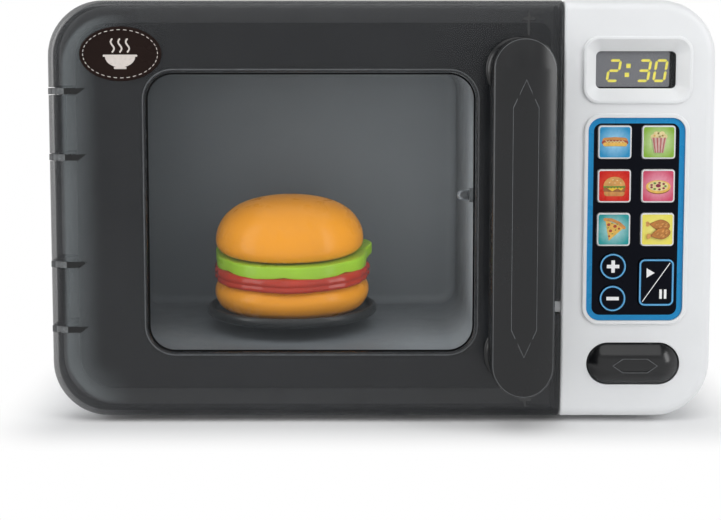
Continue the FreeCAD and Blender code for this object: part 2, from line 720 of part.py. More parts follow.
def front_shell():
    """White front shell with the control panel, door frame wall and hinge arms."""
    shell = slab(LEFT, RIGHT, BOTTOM, TOP, even(CORNER_RADIUS), 0, PARTING_DEPTH)
    shell = soften(shell, FRONT_FILLET, lambda edge: at_depth(edge, 0))
    shell = shell.cut(
        block(LEFT - OVERRUN, PANEL_LEFT, -OVERRUN, FRAME_DEPTH, BOTTOM - OVERRUN, TOP + OVERRUN)
    )
    hollow = slab(
        LEFT + WALL, RIGHT - WALL, BOTTOM + WALL, TOP - WALL,
        even(CORNER_RADIUS - WALL), WALL, PARTING_DEPTH + OVERRUN,
    )
    hollow = soften(hollow, FRONT_FILLET - WALL, lambda edge: at_depth(edge, WALL))
    hollow = hollow.cut(block(LEFT, PANEL_LEFT + WALL, 0, FRAME_BACK, BOTTOM, TOP))
    shell = shell.cut(hollow)
    shell = soften(
        shell, PANEL_EDGE_FILLET,
        lambda edge: at_depth(edge, 0) and abs(edge.BoundBox.XMax - PANEL_LEFT) < PICK,
    )
    rim = slab(
        KEYPAD_LEFT - RIM_WIDTH, KEYPAD_RIGHT + RIM_WIDTH, KEYPAD_BOTTOM - RIM_WIDTH, KEYPAD_TOP + RIM_WIDTH,
        even(KEYPAD_RADIUS + RIM_WIDTH), -RIM_PROUD, PAD_BACK,
    )
    rim = soften(rim, RIM_FILLET, lambda edge: at_depth(edge, -RIM_PROUD))
    bosses = [rod_y(x, z, BOARD_BOSS_RADIUS, WALL - ROOT, BOARD_FRONT) for x, z in BOARD_BOSSES]
    bosses += [rod_y(x, z, LATCH_BOSS_RADIUS, WALL - ROOT, LATCH_COVER_FRONT) for x, z in LATCH_BOSSES]
    for x, z in CASE_BOSSES:
        wall_back = WALL if x > PANEL_LEFT else FRAME_BACK
        bosses.append(rod_y(x, z, CASE_BOSS_RADIUS, wall_back - ROOT, PARTING_DEPTH))
    shell = joined(shell, [rim] + bosses + [hinge_arm(z) for z in ARM_HEIGHTS])
    cuts = [
        slab(
            KEYPAD_LEFT - SLIP / 2, KEYPAD_RIGHT + SLIP / 2, KEYPAD_BOTTOM - SLIP / 2, KEYPAD_TOP + SLIP / 2,
            even(KEYPAD_RADIUS + SLIP / 2), -RIM_PROUD - OVERRUN, KEYPAD_RECESS,
        ),
        slab(
            KEYPAD_LEFT + KEYPAD_SHELF, KEYPAD_RIGHT - KEYPAD_SHELF,
            KEYPAD_BOTTOM + KEYPAD_SHELF, KEYPAD_TOP - KEYPAD_SHELF,
            even(KEYPAD_RADIUS - KEYPAD_SHELF), 0, PAD_BACK + OVERRUN,
        ),
        bezel_plug(SLIP / 2, -OVERRUN, WALL + OVERRUN),
        button_pill(SLIP, -OVERRUN, WALL + OVERRUN),
        slab(
            LINER_LEFT - SLIP, LINER_RIGHT + SLIP, LINER_BOTTOM - SLIP, LINER_TOP + SLIP,
            even(CAVITY_RADIUS + LINER_WALL + SLIP), FRAME_DEPTH - OVERRUN, FRAME_BACK + OVERRUN,
        ),
        block(
            PANEL_LEFT - OVERRUN, PANEL_LEFT + WALL + OVERRUN,
            TONGUE_FRONT_DEPTH - SLIP, SLIDER_BACK_DEPTH + SLIP, TONGUE_BOTTOM - SLIP, TONGUE_TOP + SLIP,
        ),
    ]
    cuts += [
        rod_y(x, z, BOARD_SCREW_RADIUS, BOARD_FRONT - BOARD_SCREW_GRIP, BOARD_FRONT + OVERRUN)
        for x, z in BOARD_BOSSES
    ]
    cuts += [
        rod_y(x, z, LATCH_SCREW_RADIUS, LATCH_COVER_FRONT - LATCH_SCREW_GRIP, LATCH_COVER_FRONT + OVERRUN)
        for x, z in LATCH_BOSSES
    ]
    cuts += [
        rod_y(x, z, CASE_SCREW_RADIUS, PARTING_DEPTH - CASE_SCREW_GRIP, PARTING_DEPTH + OVERRUN)
        for x, z in CASE_BOSSES
    ]
    cuts += [
        rod_y(x, z, LINER_SCREW_RADIUS, FRAME_BACK - LINER_SCREW_GRIP, FRAME_BACK + OVERRUN)
        for x, z in LINER_SCREWS
    ]
    cuts += [hinge_pin(z, 0) for z in HINGE_HEIGHTS]
    return shell.cut(cuts)


def hinge_arm(z):
    """Light arm that carries one end of a hinge pin."""
    low = z - ARM_THICKNESS / 2
    high = z + ARM_THICKNESS / 2
    left = LEFT + ARM_SIDE_INSET
    nose = rod_z(HINGE_X, HINGE_DEPTH, ARM_NOSE_RADIUS, low, high)
    nose = nose.common(block(left, RIGHT, -OVERRUN, FRAME_DEPTH, low, high))
    return joined(nose, [block(left, left + ARM_WIDTH, HINGE_DEPTH, FRAME_BACK, low, high)])


def hinge_pin(middle, grown):
    """Pin of one hinge, grown outwards by a clearance."""
    half = (HINGE_SPAN + ARM_THICKNESS) / 2
    return rod_z(HINGE_X, HINGE_DEPTH, PIN_RADIUS + grown, middle - half, middle + half)


def bezel_plug(grown, front, back):
    """Part of the display bezel that passes through the panel."""
    half_width = BEZEL_WIDTH / 2 - BEZEL_LAP + grown
    half_height = BEZEL_HEIGHT / 2 - BEZEL_LAP + grown
    return slab(
        CONTROL_X - half_width, CONTROL_X + half_width, BEZEL_Z - half_height, BEZEL_Z + half_height,
        even(BEZEL_RADIUS - BEZEL_LAP + grown), front, back,
    )


def button_pill(grown, front, back):
    """Pill outline of the release button between two depths."""
    return slab(
        BUTTON_LEFT - grown, BUTTON_RIGHT + grown,
        BUTTON_BOTTOM - grown, BUTTON_BOTTOM + BUTTON_HEIGHT + grown,
        even(BUTTON_HEIGHT / 2 + grown), front, back,
    )


def rear_shell():
    """White rear shell with screw tubes, battery opening and loudspeaker grille."""
    shell = slab(LEFT, RIGHT, BOTTOM, TOP, even(CORNER_RADIUS), PARTING_DEPTH, BODY_DEPTH)
    shell = soften(shell, REAR_FILLET, lambda edge: at_depth(edge, BODY_DEPTH))
    hollow = slab(
        LEFT + WALL, RIGHT - WALL, BOTTOM + WALL, TOP - WALL,
        even(CORNER_RADIUS - WALL), PARTING_DEPTH - OVERRUN, REAR_WALL_FRONT,
    )
    hollow = soften(hollow, REAR_FILLET - WALL, lambda edge: at_depth(edge, REAR_WALL_FRONT))
    tubes = [rod_y(x, z, CASE_TUBE_RADIUS, PARTING_DEPTH, REAR_WALL_FRONT + ROOT) for x, z in CASE_BOSSES]
    shell = joined(shell.cut(hollow), tubes)
    cuts = [rod_y(x, z, CASE_TUBE_BORE, CASE_HEAD_DEPTH, BODY_DEPTH + OVERRUN) for x, z in CASE_BOSSES]
    hole_radius = CASE_SCREW_RADIUS + CASE_HOLE_CLEARANCE
    cuts += [
        rod_y(x, z, hole_radius, PARTING_DEPTH - OVERRUN, CASE_HEAD_DEPTH + OVERRUN) for x, z in CASE_BOSSES
    ]
    cuts.append(
        slab(
            COVER_LEFT - COVER_GAP, COVER_RIGHT + COVER_GAP, COVER_BOTTOM - COVER_GAP, COVER_TOP + COVER_GAP,
            even(COVER_RADIUS + COVER_GAP), COVER_FRONT, BODY_DEPTH + OVERRUN,
        )
    )
    cuts.append(block(BATTERY_LEFT, BATTERY_RIGHT, PARTING_DEPTH, BODY_DEPTH, BATTERY_BOTTOM, BATTERY_TOP))
    cuts.append(rod_y(CONTROL_X, COVER_SCREW_Z, COVER_LUG_HOLE, PARTING_DEPTH, BODY_DEPTH))
    for index in range(-GRILLE_SIDE_COUNT, GRILLE_SIDE_COUNT + 1):
        offset = index * GRILLE_PITCH
        half = math.sqrt(GRILLE_RADIUS ** 2 - offset ** 2)
        cuts.append(
            slab(
                CONTROL_X + offset - GRILLE_SLOT / 2, CONTROL_X + offset + GRILLE_SLOT / 2,
                SPEAKER_Z - half, SPEAKER_Z + half, even(GRILLE_SLOT / 2),
                PARTING_DEPTH, BODY_DEPTH + OVERRUN,
            )
        )
    return shell.cut(cuts)


def feet():
    """Four rubber feet under the casing."""
    places = [
        (x, depth)
        for x in (LEFT + FOOT_SIDE_INSET, RIGHT - FOOT_SIDE_INSET)
        for depth in (FOOT_FRONT_DEPTH, BODY_DEPTH - FOOT_BACK_INSET)
    ]
    return Part.makeCompound([rod_z(x, depth, FOOT_RADIUS, 0, BOTTOM) for x, depth in places])


def case_screws():
    """Long-reach screws that hold the two shells together."""
    tip = PARTING_DEPTH - CASE_SCREW_GRIP
    return Part.makeCompound(
        [
            screw_y(x, z, CASE_HEAD_DEPTH, CASE_HEAD_RADIUS, CASE_HEAD_HEIGHT, CASE_SCREW_RADIUS, tip)
            for x, z in CASE_BOSSES
        ]
    )


def hinge_pins():
    """Two steel hinge pins."""
    return Part.makeCompound([hinge_pin(z, 0) for z in HINGE_HEIGHTS])


def door_frame():
    """Smoke-tinted door shell with hinge barrels, window opening and latch notch."""
    corner = (CORNER_RADIUS, 0, 0, CORNER_RADIUS)
    door = slab(LEFT, DOOR_RIGHT, BOTTOM, TOP, corner, 0, DOOR_DEPTH)
    door = soften(
        door, FRONT_FILLET, lambda edge: at_depth(edge, 0) and edge.BoundBox.XMin < DOOR_RIGHT - PICK
    )
    hollow_corner = (CORNER_RADIUS - DOOR_WALL, 0, 0, CORNER_RADIUS - DOOR_WALL)
    hollow_right = DOOR_RIGHT - DOOR_WALL
    hollow = slab(
        LEFT + DOOR_WALL, hollow_right, BOTTOM + DOOR_WALL, TOP - DOOR_WALL,
        hollow_corner, DOOR_WALL, DOOR_DEPTH + OVERRUN,
    )
    hollow = soften(
        hollow, FRONT_FILLET - DOOR_WALL,
        lambda edge: at_depth(edge, DOOR_WALL) and edge.BoundBox.XMin < hollow_right - PICK,
    )
    door = door.cut(hollow)
    door = soften(
        door, DOOR_EDGE_FILLET, lambda edge: at_depth(edge, 0) and edge.BoundBox.XMin > DOOR_RIGHT - PICK
    )
    door = soften(
        door, DOOR_HEEL_FILLET, lambda edge: at_depth(edge, DOOR_DEPTH) and edge.BoundBox.XMin < LEFT + PICK
    )
    door = door.cut(
        slab(
            WINDOW_LEFT, WINDOW_RIGHT, WINDOW_BOTTOM, WINDOW_TOP,
            even(WINDOW_RADIUS), -OVERRUN, DOOR_WALL + OVERRUN,
        )
    )
    door = soften(
        door, WINDOW_EDGE_FILLET,
        lambda edge: at_depth(edge, 0)
        and edge.BoundBox.XMin > WINDOW_LEFT - PICK
        and edge.BoundBox.XMax < WINDOW_RIGHT + PICK
        and edge.BoundBox.ZMax < WINDOW_TOP + PICK,
    )
    barrel_half = (HINGE_SPAN - ARM_THICKNESS) / 2 - SLIP
    door = joined(
        door,
        [rod_z(HINGE_X, HINGE_DEPTH, BARREL_RADIUS, z - barrel_half, z + barrel_half) for z in HINGE_HEIGHTS],
    )
    slot_half = ARM_THICKNESS / 2 + ARM_SLOT_GAP
    cuts = [
        block(
            LEFT - OVERRUN, HINGE_X + ARM_SLOT_REACH, -OVERRUN, DOOR_DEPTH + OVERRUN,
            z - slot_half, z + slot_half,
        )
        for z in ARM_HEIGHTS
    ]
    cuts += [hinge_pin(z, RUNNING) for z in HINGE_HEIGHTS]
    cuts.append(
        block(
            DOOR_RIGHT - NOTCH_WIDTH, DOOR_RIGHT + OVERRUN, -OVERRUN, DOOR_DEPTH + OVERRUN,
            TONGUE_BOTTOM - NOTCH_GAP, TONGUE_TOP + NOTCH_GAP,
        )
    )
    cuts += [
        rod_y(HANDLE_X, z, HANDLE_SCREW_RADIUS + HANDLE_HOLE_CLEARANCE, -OVERRUN, DOOR_WALL + OVERRUN)
        for z in POST_HEIGHTS
    ]
    return door.cut(cuts)


def door_window():
    """Window pane with a rim glued behind the door wall."""
    pane = slab(
        WINDOW_LEFT + PANE_GAP, WINDOW_RIGHT - PANE_GAP, WINDOW_BOTTOM + PANE_GAP, WINDOW_TOP - PANE_GAP,
        even(WINDOW_RADIUS - PANE_GAP), PANE_RECESS, DOOR_WALL + PANE_RIM_THICKNESS,
    )
    rim = slab(
        WINDOW_LEFT - PANE_LAP, WINDOW_RIGHT + PANE_LAP, WINDOW_BOTTOM - PANE_LAP, WINDOW_TOP + PANE_LAP,
        even(WINDOW_RADIUS + PANE_LAP), DOOR_WALL, DOOR_WALL + PANE_RIM_THICKNESS,
    )
    return joined(pane, [rim])


def door_badge():
    """Plain oval badge on the door."""
    middle = Vector(LEFT + BADGE_LEFT_MARGIN, at(-BADGE_THICKNESS), TOP - BADGE_TOP_MARGIN)
    side = middle + Vector(BADGE_WIDTH / 2, 0, 0)
    crest = middle + Vector(0, 0, BADGE_HEIGHT / 2)
    oval = Part.Wire(Part.Ellipse(side, crest, middle).toShape())
    badge = Part.Face(oval).extrude(Vector(0, BADGE_THICKNESS, 0))
    return soften(badge, BADGE_EDGE_FILLET, lambda edge: at_depth(edge, -BADGE_THICKNESS))


def door_handle():
    """Pill-shaped grip bar on two round posts."""
    half = HANDLE_WIDTH / 2
    bar_back = HANDLE_BAR - HANDLE_STANDOFF
    bar = slab(
        HANDLE_X - half, HANDLE_X + half, HANDLE_BOTTOM, HANDLE_TOP, even(half), -HANDLE_STANDOFF, bar_back
    )
    bar = soften(bar, HANDLE_CROWN, lambda edge: at_depth(edge, -HANDLE_STANDOFF))
    bar = soften(bar, HANDLE_BACK_FILLET, lambda edge: at_depth(edge, bar_back))
    post_radius = half - HANDLE_BACK_FILLET
    posts = [rod_y(HANDLE_X, z, post_radius, bar_back - ROOT, 0) for z in POST_HEIGHTS]
    posts += [rod_y(HANDLE_X, z, half + HANDLE_PAD_LIP, -HANDLE_PAD_THICKNESS, 0) for z in POST_HEIGHTS]
    handle = joined(bar, posts)
    cuts = [rod_y(HANDLE_X, z, HANDLE_SCREW_RADIUS, -HANDLE_SCREW_REACH, OVERRUN) for z in POST_HEIGHTS]
    cuts.append(
        mark_groove(
            HANDLE_X, (HANDLE_BOTTOM + HANDLE_TOP) / 2, HANDLE_MARK_WIDTH / 2,
            (HANDLE_TOP - HANDLE_BOTTOM) / 2 - HANDLE_MARK_MARGIN, HANDLE_MARK_POINT, True, -HANDLE_STANDOFF,
        )
    )
    return handle.cut(cuts)


def handle_screws():
    """Screws driven from inside the door into the handle posts."""
    return Part.makeCompound(
        [
            screw_y(
                HANDLE_X, z, DOOR_WALL, HANDLE_HEAD_RADIUS, HANDLE_HEAD_HEIGHT,
                HANDLE_SCREW_RADIUS, -HANDLE_SCREW_REACH,
            )
            for z in POST_HEIGHTS
        ]
    )


def oven_front_frame():
    """Dark frame behind the door round the oven mouth."""
    right = DOOR_RIGHT - DOOR_WALL - OVEN_FRAME_SIDE_GAP
    front = FRAME_DEPTH - OVEN_FRAME_THICKNESS
    left_radius = CORNER_RADIUS - OVEN_FRAME_INSET
    frame = slab(
        LEFT + OVEN_FRAME_INSET, right, BOTTOM + OVEN_FRAME_INSET, TOP - OVEN_FRAME_INSET,
        (left_radius, OVEN_FRAME_RIGHT_RADIUS, OVEN_FRAME_RIGHT_RADIUS, left_radius), front, FRAME_DEPTH,
    )
    frame = soften(frame, OVEN_FRAME_FILLET, lambda edge: at_depth(edge, front))
    return frame.cut(
        slab(
            WINDOW_LEFT - MOUTH_LEFT_LAP, CAVITY_RIGHT, CAVITY_FLOOR, CAVITY_CEILING,
            even(MOUTH_RADIUS), front - OVERRUN, FRAME_DEPTH + OVERRUN,
        )
    )


def liner_box(grown, front, back, fillet):
    """Box of the oven cavity grown outwards, rounded along its back edges."""
    box = slab(
        CAVITY_LEFT - grown, CAVITY_RIGHT + grown, CAVITY_FLOOR - grown, CAVITY_CEILING + grown,
        even(CAVITY_RADIUS + grown), front, back,
    )
    return soften(box, fillet, lambda edge: at_depth(edge, back))


def oven_liner():
    """Grey liner of the oven cavity with its fixing rim and gearbox posts."""
    liner = liner_box(LINER_WALL, FRAME_DEPTH, CAVITY_BACK + LINER_WALL, CAVITY_BACK_FILLET + LINER_WALL)
    rim_grown = LINER_WALL + LINER_RIM
    rim = slab(
        CAVITY_LEFT - rim_grown, CAVITY_RIGHT + rim_grown,
        CAVITY_FLOOR - rim_grown, CAVITY_CEILING + rim_grown,
        even(CAVITY_RADIUS + rim_grown), FRAME_BACK, FRAME_BACK + LINER_RIM_THICKNESS,
    )
    posts = [
        rod_z(x, depth, GEARBOX_POST_RADIUS, GEARBOX_TOP, LINER_BOTTOM + ROOT) for x, depth in GEARBOX_POSTS
    ]
    liner = joined(liner, [rim] + posts)
    cuts = [liner_box(0, FRAME_DEPTH - OVERRUN, CAVITY_BACK, CAVITY_BACK_FILLET)]
    cuts.append(
        rod_z(
            TURNTABLE_X, TURNTABLE_DEPTH, SHAFT_RADIUS + SHAFT_FLOOR_GAP,
            LINER_BOTTOM - OVERRUN, CAVITY_FLOOR + OVERRUN,
        )
    )
    cuts.append(
        rod_x(
            LAMP_DEPTH, CAVITY_FLOOR + LAMP_HEIGHT, LAMP_HOLDER_RADIUS,
            CAVITY_RIGHT - OVERRUN, LINER_RIGHT + OVERRUN,
        )
    )
    cuts += [
        rod_z(x, depth, GEARBOX_SCREW_RADIUS, GEARBOX_TOP - OVERRUN, GEARBOX_TOP + GEARBOX_SCREW_GRIP)
        for x, depth in GEARBOX_POSTS
    ]
    rim_back = FRAME_BACK + LINER_RIM_THICKNESS
    cuts += [
        rod_y(x, z, LINER_SCREW_RADIUS + RUNNING, FRAME_BACK - OVERRUN, rim_back + OVERRUN)
        for x, z in LINER_SCREWS
    ]
    return liner.cut(cuts)


def liner_screws():
    """Short screws that fix the liner to the front shell."""
    head_front = FRAME_BACK + LINER_RIM_THICKNESS
    tip = FRAME_BACK - LINER_SCREW_GRIP
    return Part.makeCompound(
        [
            screw_y(x, z, head_front, LINER_HEAD_RADIUS, LINER_HEAD_HEIGHT, LINER_SCREW_RADIUS, tip)
            for x, z in LINER_SCREWS
        ]
    )


def lamp_holder():
    """Dark bush that holds the lamp in the cavity wall."""
    z = CAVITY_FLOOR + LAMP_HEIGHT
    outer = LINER_RIGHT + LAMP_HOLDER_FLANGE_THICKNESS
    bush = rod_x(LAMP_DEPTH, z, LAMP_HOLDER_RADIUS, CAVITY_RIGHT - LAMP_HOLDER_PROUD, outer)
    bush = joined(bush, [rod_x(LAMP_DEPTH, z, LAMP_HOLDER_FLANGE, LINER_RIGHT, outer)])
    return bush.cut(
        rod_x(LAMP_DEPTH, z, LAMP_RADIUS, CAVITY_RIGHT - LAMP_HOLDER_PROUD - OVERRUN, outer + OVERRUN)
    )


def cavity_lamp():
    """Bullet lamp that looks into the cavity."""
    z = CAVITY_FLOOR + LAMP_HEIGHT
    shoulder = CAVITY_RIGHT - LAMP_REACH + LAMP_RADIUS
    body = rod_x(LAMP_DEPTH, z, LAMP_RADIUS, shoulder, CAVITY_RIGHT + LAMP_TAIL)
    return joined(body, [Part.makeSphere(LAMP_RADIUS, Vector(shoulder, at(LAMP_DEPTH), z))])


def display_bezel():
    """Raised display surround with sloped inner walls."""
    half_width = BEZEL_WIDTH / 2
    half_height = BEZEL_HEIGHT / 2
    ring = slab(
        CONTROL_X - half_width, CONTROL_X + half_width, BEZEL_Z - half_height, BEZEL_Z + half_height,
        even(BEZEL_RADIUS), -BEZEL_PROUD, 0,
    )
    ring = soften(ring, BEZEL_EDGE_FILLET, lambda edge: at_depth(edge, -BEZEL_PROUD))
    ring = joined(ring, [bezel_plug(0, 0, BEZEL_BACK_DEPTH)])
    rim_width = half_width - BEZEL_BRIM
    rim_height = half_height - BEZEL_BRIM
    wide = rounded_wire(
        box_points(CONTROL_X - rim_width, CONTROL_X + rim_width, BEZEL_Z - rim_height, BEZEL_Z + rim_height),
        even(BEZEL_RADIUS - BEZEL_BRIM), upright(-BEZEL_PROUD),
    )
    narrow = rounded_wire(display_points(0), even(DISPLAY_RADIUS), upright(BEZEL_BACK_DEPTH - BEZEL_LIP))
    funnel = Part.makeLoft([wide, narrow], True, True)
    opening = Part.Face(rounded_wire(display_points(0), even(DISPLAY_RADIUS), upright(0)))
    return ring.cut([funnel, opening.extrude(Vector(0, BEZEL_BACK_DEPTH + OVERRUN, 0))])


def display_points(grown):
    """Corners of the display opening grown outwards."""
    half_width = DISPLAY_WIDTH / 2 + grown
    half_height = DISPLAY_HEIGHT / 2 + grown
    return box_points(
        CONTROL_X - half_width, CONTROL_X + half_width, BEZEL_Z - half_height, BEZEL_Z + half_height
    )


def display_plate(grown, radius, front, back):
    """Plate the size of the display opening, grown outwards."""
    wire = rounded_wire(display_points(grown), even(radius), upright(front))
    return Part.Face(wire).extrude(Vector(0, back - front, 0))


def display_lens():
    """Clear lens behind the bezel opening."""
    return display_plate(LENS_LAP, DISPLAY_RADIUS, BEZEL_BACK_DEPTH, LENS_BACK)


def display_module():
    """Display housing with a sunk screen, standing on the circuit board."""
    housing = display_plate(MODULE_LAP, DISPLAY_RADIUS, LENS_BACK, BOARD_FRONT)
    return housing.cut(display_plate(0, DISPLAY_RADIUS, LENS_BACK - OVERRUN, LENS_BACK + SCREEN_SINK))


def keypad_outline(inset, front, back):
    """Plate of the keypad outline shrunk by an inset."""
    return slab(
        KEYPAD_LEFT + inset, KEYPAD_RIGHT - inset, KEYPAD_BOTTOM + inset, KEYPAD_TOP - inset,
        even(KEYPAD_RADIUS - inset), front, back,
    )


def keypad_frame():
    """Blue border laid round the keypad field."""
    ring = keypad_outline(0, -KEYPAD_BORDER_PROUD, PLATE_FLANGE_FRONT)
    return ring.cut(keypad_outline(KEYPAD_BORDER, -OVERRUN, PLATE_FLANGE_FRONT + OVERRUN))


def keypad_plate():
    """Black keypad plate with a hole for each key."""
    plate = keypad_outline(0, PLATE_FLANGE_FRONT, KEYPAD_RECESS)
    plate = joined(plate, [keypad_outline(KEYPAD_BORDER, 0, PLATE_FLANGE_FRONT)])
    holes = [key_prism(name, KEY_GAP, -OVERRUN, KEYPAD_RECESS + OVERRUN) for name in KEYS]
    return plate.cut(holes)


def key_rectangle(column, row):
    """Outline values of one picture key."""
    return (column, TOP_ROW - row * KEY_ROW_PITCH, KEY_WIDTH / 2, KEY_HEIGHT / 2, KEY_RADIUS)


def round_key(side):
    """Outline values of the plus or the minus key."""
    z = LOWER_KEYS_Z + side * ROUND_KEY_PITCH / 2
    return (LEFT_COLUMN, z, ROUND_KEY_RADIUS, ROUND_KEY_RADIUS, ROUND_KEY_RADIUS)


KEYS = {
    "hot_dog_key": key_rectangle(LEFT_COLUMN, 0),
    "popcorn_key": key_rectangle(RIGHT_COLUMN, 0),
    "burger_key": key_rectangle(LEFT_COLUMN, 1),
    "pie_key": key_rectangle(RIGHT_COLUMN, 1),
    "pizza_key": key_rectangle(LEFT_COLUMN, 2),
    "chicken_key": key_rectangle(RIGHT_COLUMN, 2),
    "plus_key": round_key(1),
    "minus_key": round_key(-1),
    "start_key": (RIGHT_COLUMN, LOWER_KEYS_Z, START_KEY_WIDTH / 2, START_KEY_HEIGHT / 2, START_KEY_RADIUS),
}


def key_prism(name, grown, front, back):
    """Prism of a key's outline grown outwards."""
    x, z, half_width, half_height, radius = KEYS[name]
    return slab(
        x - half_width - grown, x + half_width + grown, z - half_height - grown, z + half_height + grown,
        even(radius + grown), front, back,
    )


def key(name):
    """One key with its cap, its flange behind the plate and its stem."""
    cap = key_prism(name, 0, -KEY_PROUD, KEY_FLANGE_BACK)
    cap = soften(cap, KEY_EDGE_FILLET, lambda edge: at_depth(edge, -KEY_PROUD))
    flange = key_prism(name, KEY_FLANGE_LAP, KEY_FLANGE_FRONT, KEY_FLANGE_BACK)
    x, z = KEYS[name][:2]
    return joined(cap, [flange, rod_y(x, z, KEY_STEM_RADIUS, KEY_FLANGE_BACK - ROOT, KEY_STEM_BACK)])


def keypad_mat():
    """Rubber mat with a dome behind each key."""
    mat = keypad_outline(KEYPAD_SHELF + MAT_INSET, MAT_FRONT, BOARD_FRONT)
    domes = []
    for x, z, *_ in KEYS.values():
        domes.append(rod_y(x, z, DOME_RADIUS, DOME_FRONT, MAT_FRONT + ROOT))
    return joined(mat, domes)


def main_board():
    """Circuit board behind the display and keypad."""
    board = block(BOARD_LEFT, BOARD_RIGHT, BOARD_FRONT, BOARD_BACK, BOARD_BOTTOM, BOARD_TOP)
    return board.cut(
        [
            rod_y(x, z, BOARD_SCREW_RADIUS + RUNNING, BOARD_FRONT - OVERRUN, BOARD_BACK + OVERRUN)
            for x, z in BOARD_BOSSES
        ]
    )


def board_screws():
    """Screws that hold the circuit board to its bosses."""
    tip = BOARD_FRONT - BOARD_SCREW_GRIP
    return Part.makeCompound(
        [
            screw_y(x, z, BOARD_BACK, BOARD_HEAD_RADIUS, BOARD_HEAD_HEIGHT, BOARD_SCREW_RADIUS, tip)
            for x, z in BOARD_BOSSES
        ]
    )


def release_button():
    """Domed pill button with a wedge that draws the latch back."""
    button = button_pill(0, -BUTTON_PROUD, BUTTON_FLANGE_BACK)
    button = soften(button, BUTTON_CROWN, lambda edge: at_depth(edge, -BUTTON_PROUD))
    button = joined(button, [button_pill(BUTTON_FLANGE_LAP, BUTTON_FLANGE_FRONT, BUTTON_FLANGE_BACK)])
    hollow = button_pill(-BUTTON_SHELL - WEDGE_INSET, BUTTON_HOLLOW_DEPTH, BUTTON_FLANGE_BACK + OVERRUN)
    button = button.cut(hollow)
    slope = SLIDER_BACK_DEPTH - BUTTON_FLANGE_BACK
    wedge = polygon_prism(
        (
            (WEDGE_LEFT, BUTTON_HOLLOW_DEPTH - ROOT),
            (WEDGE_TIP + slope, BUTTON_HOLLOW_DEPTH - ROOT),
            (WEDGE_TIP + slope, BUTTON_FLANGE_BACK),
            (WEDGE_TIP, SLIDER_BACK_DEPTH),
            (WEDGE_LEFT, SLIDER_BACK_DEPTH),
        ),
        level(WEDGE_BOTTOM), Vector(0, 0, WEDGE_HEIGHT),
    )
    button = joined(button, [wedge])
    return button.cut(
        mark_groove(
            CONTROL_X, BUTTON_Z, BUTTON_MARK_HEIGHT / 2, BUTTON_MARK_WIDTH / 2, BUTTON_MARK_POINT,
            False, -BUTTON_PROUD,
        )
    )


def latch_tongue():
    """White latch slider: tongue, leg, arm and the follower that the button's wedge pushes."""
    tongue = block(
        TONGUE_LEFT, TONGUE_RIGHT, TONGUE_FRONT_DEPTH, SLIDER_BACK_DEPTH, TONGUE_BOTTOM, TONGUE_TOP
    )
    leg = block(
        SLIDER_LEG_LEFT, SLIDER_LEG_RIGHT, SLIDER_FRONT_DEPTH, SLIDER_BACK_DEPTH,
        SLIDER_ARM_BOTTOM, TONGUE_TOP,
    )
    arm = block(
        SLIDER_LEG_LEFT, FOLLOWER_RIGHT, SLIDER_FRONT_DEPTH, SLIDER_BACK_DEPTH,
        SLIDER_ARM_BOTTOM, SLIDER_ARM_TOP,
    )
    follower = polygon_prism(
        (
            (WEDGE_TIP + WEDGE_GAP + SLIDER_THICKNESS, SLIDER_FRONT_DEPTH),
            (FOLLOWER_RIGHT, SLIDER_FRONT_DEPTH),
            (FOLLOWER_RIGHT, SLIDER_BACK_DEPTH),
            (WEDGE_TIP + WEDGE_GAP, SLIDER_BACK_DEPTH),
        ),
        level(SLIDER_ARM_TOP), Vector(0, 0, WEDGE_HEIGHT),
    )
    return joined(tongue, [leg, arm, follower])


def latch_cover():
    """Cover behind the latch with a slider guide and a spring post."""
    back = LATCH_COVER_FRONT + LATCH_COVER_THICKNESS
    cover = slab(
        LATCH_COVER_LEFT, LATCH_COVER_RIGHT, LATCH_COVER_BOTTOM, LATCH_COVER_TOP,
        even(LATCH_COVER_RADIUS), LATCH_COVER_FRONT, back,
    )
    guide = block(
        LATCH_COVER_LEFT + LATCH_COVER_RADIUS, LATCH_POST_RIGHT,
        SLIDER_BACK_DEPTH + SLIP, LATCH_COVER_FRONT + ROOT,
        SLIDER_ARM_BOTTOM, SLIDER_ARM_BOTTOM + LATCH_GUIDE_HEIGHT,
    )
    post = block(
        LATCH_POST_LEFT, LATCH_POST_RIGHT, SLIDER_FRONT_DEPTH, LATCH_COVER_FRONT + ROOT,
        SLIDER_ARM_BOTTOM, WEDGE_TOP,
    )
    cover = joined(cover, [guide, post])
    return cover.cut(
        [
            rod_y(x, z, LATCH_SCREW_RADIUS + RUNNING, LATCH_COVER_FRONT - OVERRUN, back + OVERRUN)
            for x, z in LATCH_BOSSES
        ]
    )


def latch_screws():
    """Screws that hold the latch cover."""
    head_front = LATCH_COVER_FRONT + LATCH_COVER_THICKNESS
    tip = LATCH_COVER_FRONT - LATCH_SCREW_GRIP
    return Part.makeCompound(
        [
            screw_y(x, z, head_front, LATCH_HEAD_RADIUS, LATCH_HEAD_HEIGHT, LATCH_SCREW_RADIUS, tip)
            for x, z in LATCH_BOSSES
        ]
    )


def latch_spring():
    """Spring that pushes the latch slider out."""
    depth = (SLIDER_FRONT_DEPTH + SLIDER_BACK_DEPTH) / 2
    coil = rod_x(depth, BUTTON_Z, LATCH_SPRING_RADIUS, FOLLOWER_RIGHT, LATCH_POST_LEFT)
    return coil.cut(
        rod_x(depth, BUTTON_Z, LATCH_SPRING_BORE, FOLLOWER_RIGHT - OVERRUN, LATCH_POST_LEFT + OVERRUN)
    )


def release_spring():
    """Spring that pushes the release button out."""
    coil = rod_y(RELEASE_SPRING_X, BUTTON_Z, RELEASE_SPRING_RADIUS, BUTTON_HOLLOW_DEPTH, LATCH_COVER_FRONT)
    return coil.cut(
        rod_y(
            RELEASE_SPRING_X, BUTTON_Z, RELEASE_SPRING_BORE,
            BUTTON_HOLLOW_DEPTH - OVERRUN, LATCH_COVER_FRONT + OVERRUN,
        )
    )


